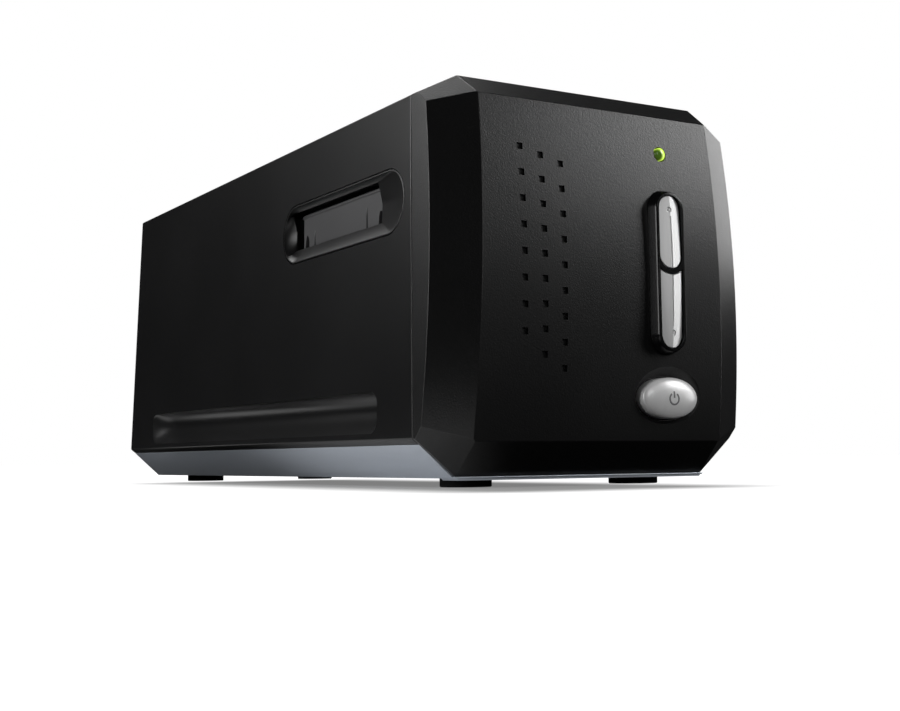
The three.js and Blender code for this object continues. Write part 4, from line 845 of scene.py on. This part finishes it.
def make_lens():
    front = face_y(LED["z"])
    outline = oval(LED["x"], LED["z"], LED["radius"], LED["radius"], ROUND_STEPS)
    rings = [upright(outline, front + LED["depth"])]
    steps = 8
    for step in range(steps):
        angle = math.pi / 2 * step / steps
        radius = LED["radius"] * math.cos(angle)
        outline = oval(LED["x"], LED["z"], radius, radius, ROUND_STEPS)
        rings.append(upright(outline, front - LED["dome"] * math.sin(angle)))
    return finish_shading(loft("status_dome", rings), angle=50)


FOOT_RADIUS = 7.9
FOOT_HEIGHT = 2.8
# Edge of a foot from the ground up: how far it draws in, and at what height
FOOT_EDGE = ((0.35, 0), (0.1, 0.12), (0, 0.4), (0, FOOT_HEIGHT - 0.02), (0.05, FOOT_HEIGHT))
FEET = {
    "foot_front_left": (-31.87, -103),
    "foot_front_right": (31.87, -103),
    "foot_rear_left": (-26.88, 129.4),
    "foot_rear_right": (26.88, 129.4),
}


def make_foot(name, x, y):
    rings = []
    for draw, z in FOOT_EDGE:
        radius = FOOT_RADIUS - draw
        rings.append([(px, py, z) for px, py in oval(x, y, radius, radius)])
    return finish_shading(loft(name + "_pad", rings), angle=40)


# Lip of the tray: its inset from the bezel's sides, its lower edge, its slant, how far it stands out at the
# front, and its space to the feet
TRAY_LIP = {"inset": 0.3, "low": 2.2, "high": 2.82, "slant": 0.6, "proud": 0.5, "space": 0.4}


def make_tray_lip():
    """The tray's lip, which shows under the front edge of the bezel."""
    half = FLOOR_HALF - TRAY_LIP["inset"]
    low_half = half - TRAY_LIP["slant"]
    low = TRAY_LIP["low"]
    high = TRAY_LIP["high"]
    outline = [(-half, high), (-low_half, low), (low_half, low), (half, high)]
    lip_front = FLOOR_EDGE_Y - TRAY_LIP["proud"]
    lip_rear = FEET["foot_front_left"][1] - FOOT_RADIUS - TRAY_LIP["space"]
    return loft("tray_lip", [upright(outline, lip_front), upright(outline, lip_rear)])


# Film slots

OPENING = {"front": -90.2, "rear": -27.2, "low": 80.7, "high": 93.4}
# The dish from its rim inwards to the opening: shares of its depth and of the way across
DISH_SHARES = (
    (0, 0),
    (0.04, 0.006),
    (0.2, 0.1),
    (0.38, 0.24),
    (0.56, 0.42),
    (0.74, 0.63),
    (0.88, 0.82),
    (1, 1),
)
# How much shallower the dish is at the upper edge of the opening, as a share of its depth
UPPER_EASE_SHARE = 0.45
# Rounded outer edge of the frame: depths below the side and margins to the frame's outline
FRAME_EDGE = ((0.25, 0), (0.05, -0.08), (0, -0.25))
# Thin lip of the dish, with a wider recess behind it
LIP_THICKNESS = 0.6
LIP_RECESS = 0.7
LIP_STEP = 0.05

# The flap: its hinge line, its half-thickness, the radii of its barrel and pins, and its edges
DOOR = {
    "x": 51.3625,
    "axis": 91.65,
    "half": 0.7,
    "barrel": 0.9,
    "pin": 0.6,
    "front": -89.8,
    "rear": -31.3,
    "low": 81,
}
DOOR_PINS = (-95.6, -30.1)
DOOR_PIN_GAP = 0.15
DOOR_ROD_STEPS = 32
DOOR_ROUND = 0.2
DOOR_NOTCHES = (-87.7, -34)
# Half-width and height of a notch
DOOR_NOTCH = (1.5, 4.1)
# Place and top of each rib
DOOR_RIBS = ((-78.6, 87.6), (-40.4, 86.2))
# A rib in plan, outwards from the flap and along it, and the height over which it runs out
RIB_PLAN = ((-0.2, -0.35), (0.05, -0.35), (0.45, -0.1), (0.45, 0.1), (0.05, 0.35), (-0.2, 0.35))
RIB_RUN = 2.5
RIB_END_PROUD = 0.02


def dish_depth_rings(rim, opening):
    """The rings of the dish from its rim inwards to the opening, with their depths."""
    rings = []
    for depth, way in DISH_SHARES:
        ring = [
            (y + (inner_y - y) * way, z + (inner_z - z) * way)
            for (y, z), (inner_y, inner_z) in zip(rim, opening)
        ]
        rings.append((depth * SLOT["dish"], ring))
    return rings


def opening_outline():
    """The opening, point for point with the slot's outline. Its whole front end meets the bowl."""
    half = (OPENING["high"] - OPENING["low"]) / 2
    middle = (OPENING["high"] + OPENING["low"]) / 2
    rear = []
    for across, up in arc(0, 0, 1, 1, -math.pi / 2, math.pi / 2, SLOT_STEPS):
        reach = max(abs(across), abs(up))
        rear.append((OPENING["rear"] - half + half * across / reach, middle + half * up / reach))
    turn = arc(0, 0, 1, 1, math.pi / 2, 3 * math.pi / 2, SLOT_STEPS)
    front = [(OPENING["front"], middle + half * point[1]) for point in turn]
    return rear + front


def door_rod(side, radius, front, rear):
    return round_bar(side * DOOR["x"], DOOR["axis"], radius, front, rear, DOOR_ROD_STEPS)


def widened(outline, margin, middle_y, middle_z):
    """An outline moved outwards from its middle by a margin along both axes."""
    moved = []
    for y, z in outline:
        along = margin if y > middle_y else -margin
        up = margin if z > middle_z else -margin
        moved.append((y + along, z + up))
    return moved


def make_surround(name, side):
    """The dished frame of a film slot, with the holes for the door's pins."""
    middle = (SLOT["high"] + SLOT["low"]) / 2
    face_half = side_half(middle)
    outer = slot_outline(-RUNNING_GAP / 2)
    rim = slot_outline(-SLOT["rim"])
    opening = opening_outline()
    half = (OPENING["high"] - OPENING["low"]) / 2
    ease = [1 - UPPER_EASE_SHARE * max(0, (z - OPENING["high"]) / half + 1) for y, z in opening]

    def at(depth, outline):
        return [(side * (side_half(z) - depth), y, z) for y, z in outline]

    def eased(depth, outline):
        return [(side * (side_half(z) - depth * share), y, z) for (y, z), share in zip(outline, ease)]

    def level(depth, outline):
        return [(side * (face_half - depth), y, z) for y, z in outline]

    inner = face_half - SLOT["inner"]
    plug = [level(inner, outer)]
    plug += [at(depth, slot_outline(margin - RUNNING_GAP / 2)) for depth, margin in FRAME_EDGE]
    piece = loft(name, plug)
    hollow = [at(-OVERRUN, rim)]
    hollow += [eased(depth, ring) for depth, ring in dish_depth_rings(rim, opening)]
    recess = widened(opening, LIP_RECESS, (OPENING["front"] + OPENING["rear"]) / 2, middle)
    hollow.append(eased(SLOT["dish"] + LIP_THICKNESS, opening))
    hollow.append(eased(SLOT["dish"] + LIP_THICKNESS + LIP_STEP, recess))
    hollow.append(level(inner + OVERRUN, recess))
    front, rear = DOOR_PINS
    pin_hole = door_rod(side, DOOR["pin"] + DOOR_PIN_GAP, front - DOOR_PIN_GAP, rear + DOOR_PIN_GAP)
    cut(piece, loft("dish_cutter", hollow), pin_hole)
    return finish_shading(piece, angle=25)


def make_door(name, side):
    """The flap inside a slot: a plate on a barrel, with two slim ribs and two half-oval notches."""
    x = side * DOOR["x"]
    outline = [(DOOR["front"], DOOR["low"]), (DOOR["rear"], DOOR["low"])]
    outline += [(DOOR["rear"], DOOR["axis"]), (DOOR["front"], DOOR["axis"])]
    flap = side_prism(name, outline, x - DOOR["half"], x + DOOR["half"])
    half, height = DOOR_NOTCH
    steps = 20
    for y in DOOR_NOTCHES:
        notch = arc(y, DOOR["low"], half, height, 0, math.pi, steps)
        notch += [(y - half, DOOR["low"] - OVERRUN), (y + half, DOOR["low"] - OVERRUN)]
        cut(flap, side_prism("notch", notch, x - OVERRUN, x + OVERRUN))
    round_edges(flap, DOOR_ROUND, angle=40)
    face = x + side * DOOR["half"]
    for y, top in DOOR_RIBS:
        rings = []
        for z, proud in ((DOOR["low"], math.inf), (top - RIB_RUN, math.inf), (top, RIB_END_PROUD)):
            rings.append([(face + side * min(out, proud), y + along, z) for out, along in RIB_PLAN])
        boolean(flap, loft("rib", rings), "UNION")
    boolean(flap, door_rod(side, DOOR["barrel"], DOOR["front"], DOOR["rear"]), "UNION")
    boolean(flap, door_rod(side, DOOR["pin"], *DOOR_PINS), "UNION")
    return finish_shading(flap, angle=35)


# Materials of the record's slots, of the symbol and of the dishes

# Colour, roughness, size and height of the grain, and specular level
PLASTICS = {
    "shell_black": ((0.003, 0.003, 0.0033), 0.3, 0.4, 0.003, 0.38),
    "bezel_black": ((0.0035, 0.0035, 0.0037), 0.32, 0.5, 0.045, 0.5),
    "gloss_black": ((0.003, 0.003, 0.0033), 0.2, 6, 0.002, 0.35),
    "dish_black": ((0.006, 0.006, 0.0063), 0.36, 0.5, 0.002, 0.5),
    "door_grey": ((0.05, 0.05, 0.052), 0.4, 0.35, 0.006, 0.5),
    "rubber_black": ((0.006, 0.006, 0.006), 0.75, 0.5, 0.02, 0.2),
    # frame_grey is a dark grey frame, darkened nearly to black as painted shade for its parts seen inside
    # the slots
    "frame_grey": ((0.012, 0.012, 0.013), 0.55, 0.4, 0.01, 0.4),
    "white_plastic": ((0.7, 0.7, 0.67), 0.4, 0.5, 0.005, 0.4),
    "circuit_green": ((0.02, 0.12, 0.05), 0.45, 0.8, 0.005, 0.5),
    "printed_grey": ((0.16, 0.16, 0.17), 0.5, 0.3, 0.002, 0.4),
}
# Colour, roughness, brush marks per metre along each axis, and how metallic the surface is
METALS = {
    "lens_black": ((0.02, 0.02, 0.02), 0.35, (900, 900, 200), 1),
    "tray_silver": ((0.5, 0.54, 0.6), 0.36, (90, 25, 400), 0.5),
    "button_silver": ((0.84, 0.84, 0.84), 0.34, (900, 900, 60), 0.25),
    "steel": ((0.5, 0.5, 0.51), 0.3, (800, 800, 800), 1),
    "brass": ((0.55, 0.4, 0.16), 0.32, (700, 700, 700), 1),
    "mirror_glass": ((0.85, 0.87, 0.88), 0.05, (40, 40, 40), 1),
}
# Green of the status lens, the two tones it clouds between, and the size of the clouds
LENS_GREEN = (0.06, 0.16, 0.01)
LENS_TONES = ((0.04, 0.13, 0.01), (0.09, 0.22, 0.02))
LENS_CLOUD_SIZE = 1.4
# Its light is the lamp's own glow, shaped as a painted highlight and painted shade: dim round a point at
# the lower left, and full from the second distance on
GLOW_COLOR = (0.62, 0.9, 0.1, 1)
GLOW_OFFSET = (-1.1, -0.4)
GLOW_REACH = (1.3, 2.6)
GLOW_STRENGTH = (0.03, 1.3)


def lit_lens():
    """Green lens glowing with the lamp's own light, shaped as a painted highlight in its right-hand edge
    and painted shade round a point at its lower left.
    """
    material, shader = new_material("status_lens", LENS_GREEN, 0.15)
    cloud = add_noise(material, even_scale(LENS_CLOUD_SIZE), detail=2)
    vary_color(material, cloud, shader, *LENS_TONES)
    tree = material.node_tree
    place = tree.nodes.new("ShaderNodeTexCoord")
    # Painted shade round this point, and a painted highlight where the glow is full towards the right-hand
    # edge
    painted_shade_point = Vector((LED["x"] + GLOW_OFFSET[0], face_y(LED["z"]), LED["z"] + GLOW_OFFSET[1])) * MM
    away = vector_step(tree, "DISTANCE", place.outputs["Object"], painted_shade_point)
    reach = [distance * MM for distance in GLOW_REACH]
    glow = ramp(tree, away, reach, GLOW_STRENGTH)
    tree.links.new(glow, shader.inputs["Emission Strength"])
    shader.inputs["Emission Color"].default_value = GLOW_COLOR
    return material


def paint(piece, material):
    piece.data.materials.clear()
    piece.data.materials.append(material)


materials = {name: moulded(name, *values) for name, values in PLASTICS.items()}
materials.update({name: satin_metal(name, *values) for name, values in METALS.items()})
materials["status_lens"] = lit_lens()
nodes = frame["nodes"]
slot_of = {part["node"]: part["material_slot"] for part in frame["record"]["subparts"]}
for node, piece in nodes.items():
    paint(piece, materials[slot_of[node]])


def fit_out(piece, body, node, material=None):
    """Puts a finished piece in the place of its CAD node, in that node's material unless one is named."""
    paint(piece, materials[material or slot_of[node]])
    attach(piece, body)
    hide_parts(node)


fit_out(make_bezel(), "housing", "front_bezel")
fit_out(make_shell(), "housing", "body_shell")
fit_out(make_collar(), "housing", "button_collar")
upper_key_cap, lower_key_cap = make_keys()
fit_out(upper_key_cap, "upper_key", "upper_scan_button")
fit_out(lower_key_cap, "lower_key", "lower_scan_button")
fit_out(make_power_cap(), "power_key", "power_button")
symbol = power_symbol()
paint(symbol, materials["printed_grey"])
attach(symbol, "power_key")
fit_out(make_lens(), "housing", "status_lens")
for foot, (x, y) in FEET.items():
    fit_out(make_foot(foot, x, y), "housing", foot)
lip = make_tray_lip()
paint(lip, materials[slot_of["base_tray"]])
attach(lip, "housing")
fit_out(make_surround("left_dish", -1), "housing", "left_slot_surround", "dish_black")
fit_out(make_surround("right_dish", 1), "housing", "right_slot_surround", "dish_black")
fit_out(make_door("left_flap", -1), "left_door", "left_dust_door")
fit_out(make_door("right_flap", 1), "right_door", "right_dust_door")

# CAD nodes that stay get rounded edges for the light to catch
SOFT_EDGES = {
    "base_tray": 0.35,
    "rear_panel": 0.4,
    "film_guide_lower": 0.3,
    "film_guide_upper": 0.3,
    "usb_socket": 0.15,
    "power_inlet": 0.3,
}
for node, width in SOFT_EDGES.items():
    soften(nodes[node], width, angle=35)


# Light, ground and background. Places and sizes are in metres from here on

# Each lamp's place, the point that it looks at, its width and height, and its watts
LAMPS = {
    "top_light": ((0.05, 0.5, 0.88), (0, 0, 0.05), (0.7, 0.6), 7.5),
    "face_light": ((0.64, -0.6, 0.46), (0.03, -0.13, 0.08), (0.25, 0.3), 2.3),
    "key_light": ((0.93, -0.58, 0.2), (0.03, -0.13, 0.07), (0.25, 0.35), 1.1),
    "front_light": ((0.08, -1.05, 0.35), (0.02, -0.13, 0.06), (0.3, 0.3), 0.7),
    "right_light": ((1.0, 0.2, 0.49), (0.05, -0.1, 0.07), (0.3, 0.55), 1.8),
    "left_light": ((-0.62, -0.2, 0.2), (-0.05, -0.11, 0.05), (0.2, 0.3), 1.2),
    "rear_light": ((-0.7, 0.45, 0.45), (-0.05, -0.1, 0.09), (0.35, 0.35), 3),
}

# Strength of the world as it lights the object, and as glossy surfaces mirror it away from the white sheet
WORLD_LIGHT = 0.15
WORLD_DIM = 0.012
# The white sheet behind the object: the way it lies, and the cosines at which it begins and is full
SHEET_AIM = (0.49, 0.865, -0.1)
SHEET_EDGE = (0.84, 0.95)

GROUND_HALF = 6
# How much of the lamps' light the ground shows the camera, and its own glow under the object, lowered there
# as a painted shadow
GROUND_SHOWN = 0.2
PAINTED_SHADOW_GLOW = 0.21
# Painted shadow: the ground's own glow is lowest on this patch, given by its middle and half-sizes, and the
# shadow ends at this reach around it
PAINTED_SHADOW_PATCH = ((-0.025, -0.0425), (0.027, 0.1125))
PAINTED_SHADOW_REACH = (0, 0.042)
# Two white ovals on the dark ground, front left and rear left, which the object mirrors from below
CARDS = (((-0.1, -0.11), (0.06, 0.13)), ((-0.115, 0.12), (0.04, 0.08)))
CARD_EDGE = (0.7, 1.3)
CARD_TONES = (0.8, 0.02)


def area_light(name, place, target, size, power):
    data = bpy.data.lights.new(name, "AREA")
    data.shape = "RECTANGLE"
    data.size, data.size_y = size
    data.energy = power
    lamp = bpy.data.objects.new(name, data)
    lamp.location = place
    aim = Vector(target) - Vector(place)
    lamp.rotation_euler = aim.to_track_quat("-Z", "Y").to_euler()
    lamp.visible_camera = False
    bpy.context.collection.objects.link(lamp)


def sheet_share(tree, direction):
    """How much of the white sheet lies in a direction, from 0 to 1."""
    along = vector_step(tree, "DOT_PRODUCT", direction, SHEET_AIM)
    return ramp(tree, along, SHEET_EDGE, (0, 1))


def combine(tree, operation, first, second):
    step = tree.nodes.new("ShaderNodeMath")
    step.operation = operation
    tree.links.new(first, step.inputs[0])
    tree.links.new(second, step.inputs[1])
    return step.outputs["Value"]


def blend(tree, factor, low, high):
    """A value that goes from one end to the other, each a number or a socket."""
    mix = tree.nodes.new("ShaderNodeMix")
    tree.links.new(factor, mix.inputs["Factor"])
    for socket, value in (("A", low), ("B", high)):
        if isinstance(value, (int, float)):
            mix.inputs[socket].default_value = value
        else:
            tree.links.new(value, mix.inputs[socket])
    return mix.outputs["Result"]


def oval_distance(tree, place, oval_shape):
    """How far a place on the ground is from the middle of an oval, where 1 is its rim."""
    centre, half = oval_shape
    offset = vector_step(tree, "SUBTRACT", place, (*centre, 0))
    scaled = vector_step(tree, "DIVIDE", offset, (*half, 1))
    return vector_step(tree, "LENGTH", scaled)


def patch_distance(tree, place, patch):
    """How far a place on the ground is from the nearest edge of a patch, and 0 inside it."""
    centre, half = patch
    offset = vector_step(tree, "SUBTRACT", place, (*centre, 0))
    spread = vector_step(tree, "ABSOLUTE", offset)
    past = vector_step(tree, "SUBTRACT", spread, (*half, 0))
    outside = vector_step(tree, "MAXIMUM", past)
    return vector_step(tree, "LENGTH", outside)


def make_world():
    """White where the camera looks, and for the object white behind it and dim elsewhere."""
    world = bpy.data.worlds.new("world")
    world.use_nodes = True
    tree = world.node_tree
    background = tree.nodes["Background"]
    path = tree.nodes.new("ShaderNodeLightPath")
    place = tree.nodes.new("ShaderNodeTexCoord")
    mirrored = blend(tree, sheet_share(tree, place.outputs["Generated"]), WORLD_DIM, 1.0)
    seen = blend(tree, path.outputs["Is Glossy Ray"], WORLD_LIGHT, mirrored)
    clear = combine(tree, "MAXIMUM", path.outputs["Is Camera Ray"], path.outputs["Is Transmission Ray"])
    tree.links.new(blend(tree, clear, seen, 1.0), background.inputs["Strength"])
    background.inputs["Color"].default_value = (1, 1, 1, 1)
    bpy.context.scene.world = world


def make_ground():
    """A white ground that keeps the object's soft shadow from the lamps, deepened by a painted shadow
    around it, and runs out into the white background.
    """
    size = GROUND_HALF / MM
    corners = [(-size, -size, 0), (size, -size, 0), (size, size, 0), (-size, size, 0)]
    ground = mesh_object("ground", corners, [(0, 1, 2, 3)])
    material, shader = new_material("ground_white", (0.9, 0.9, 0.9), 0.9, specular=0.0)
    tree = material.node_tree
    path = tree.nodes.new("ShaderNodeLightPath")
    place = tree.nodes.new("ShaderNodeTexCoord").outputs["Object"]
    cards = combine(tree, "MINIMUM", *[oval_distance(tree, place, card) for card in CARDS])
    lit = ramp(tree, cards, CARD_EDGE, CARD_TONES)
    tone = blend(tree, path.outputs["Is Camera Ray"], lit, GROUND_SHOWN)
    tree.links.new(tone, shader.inputs["Base Color"])
    toward = vector_step(tree, "NORMALIZE", place)
    sheet = sheet_share(tree, toward)
    mirrored = combine(tree, "MULTIPLY", sheet, path.outputs["Is Glossy Ray"])
    clear = combine(tree, "MAXIMUM", path.outputs["Is Camera Ray"], path.outputs["Is Transmission Ray"])
    # Painted shadow: the ground's glow is low on a patch round the object and full past its reach
    painted_shadow_fill = ramp(tree, patch_distance(tree, place, PAINTED_SHADOW_PATCH), PAINTED_SHADOW_REACH, (PAINTED_SHADOW_GLOW, 1))
    shown = combine(tree, "MULTIPLY", painted_shadow_fill, combine(tree, "MAXIMUM", clear, mirrored))
    tree.links.new(shown, shader.inputs["Emission Strength"])
    shader.inputs["Emission Color"].default_value = (1, 1, 1, 1)
    paint(ground, material)


make_camera()
make_world()
make_ground()
for lamp, settings in LAMPS.items():
    area_light(lamp, *settings)

bpy.context.scene.view_settings.view_transform = "Standard"
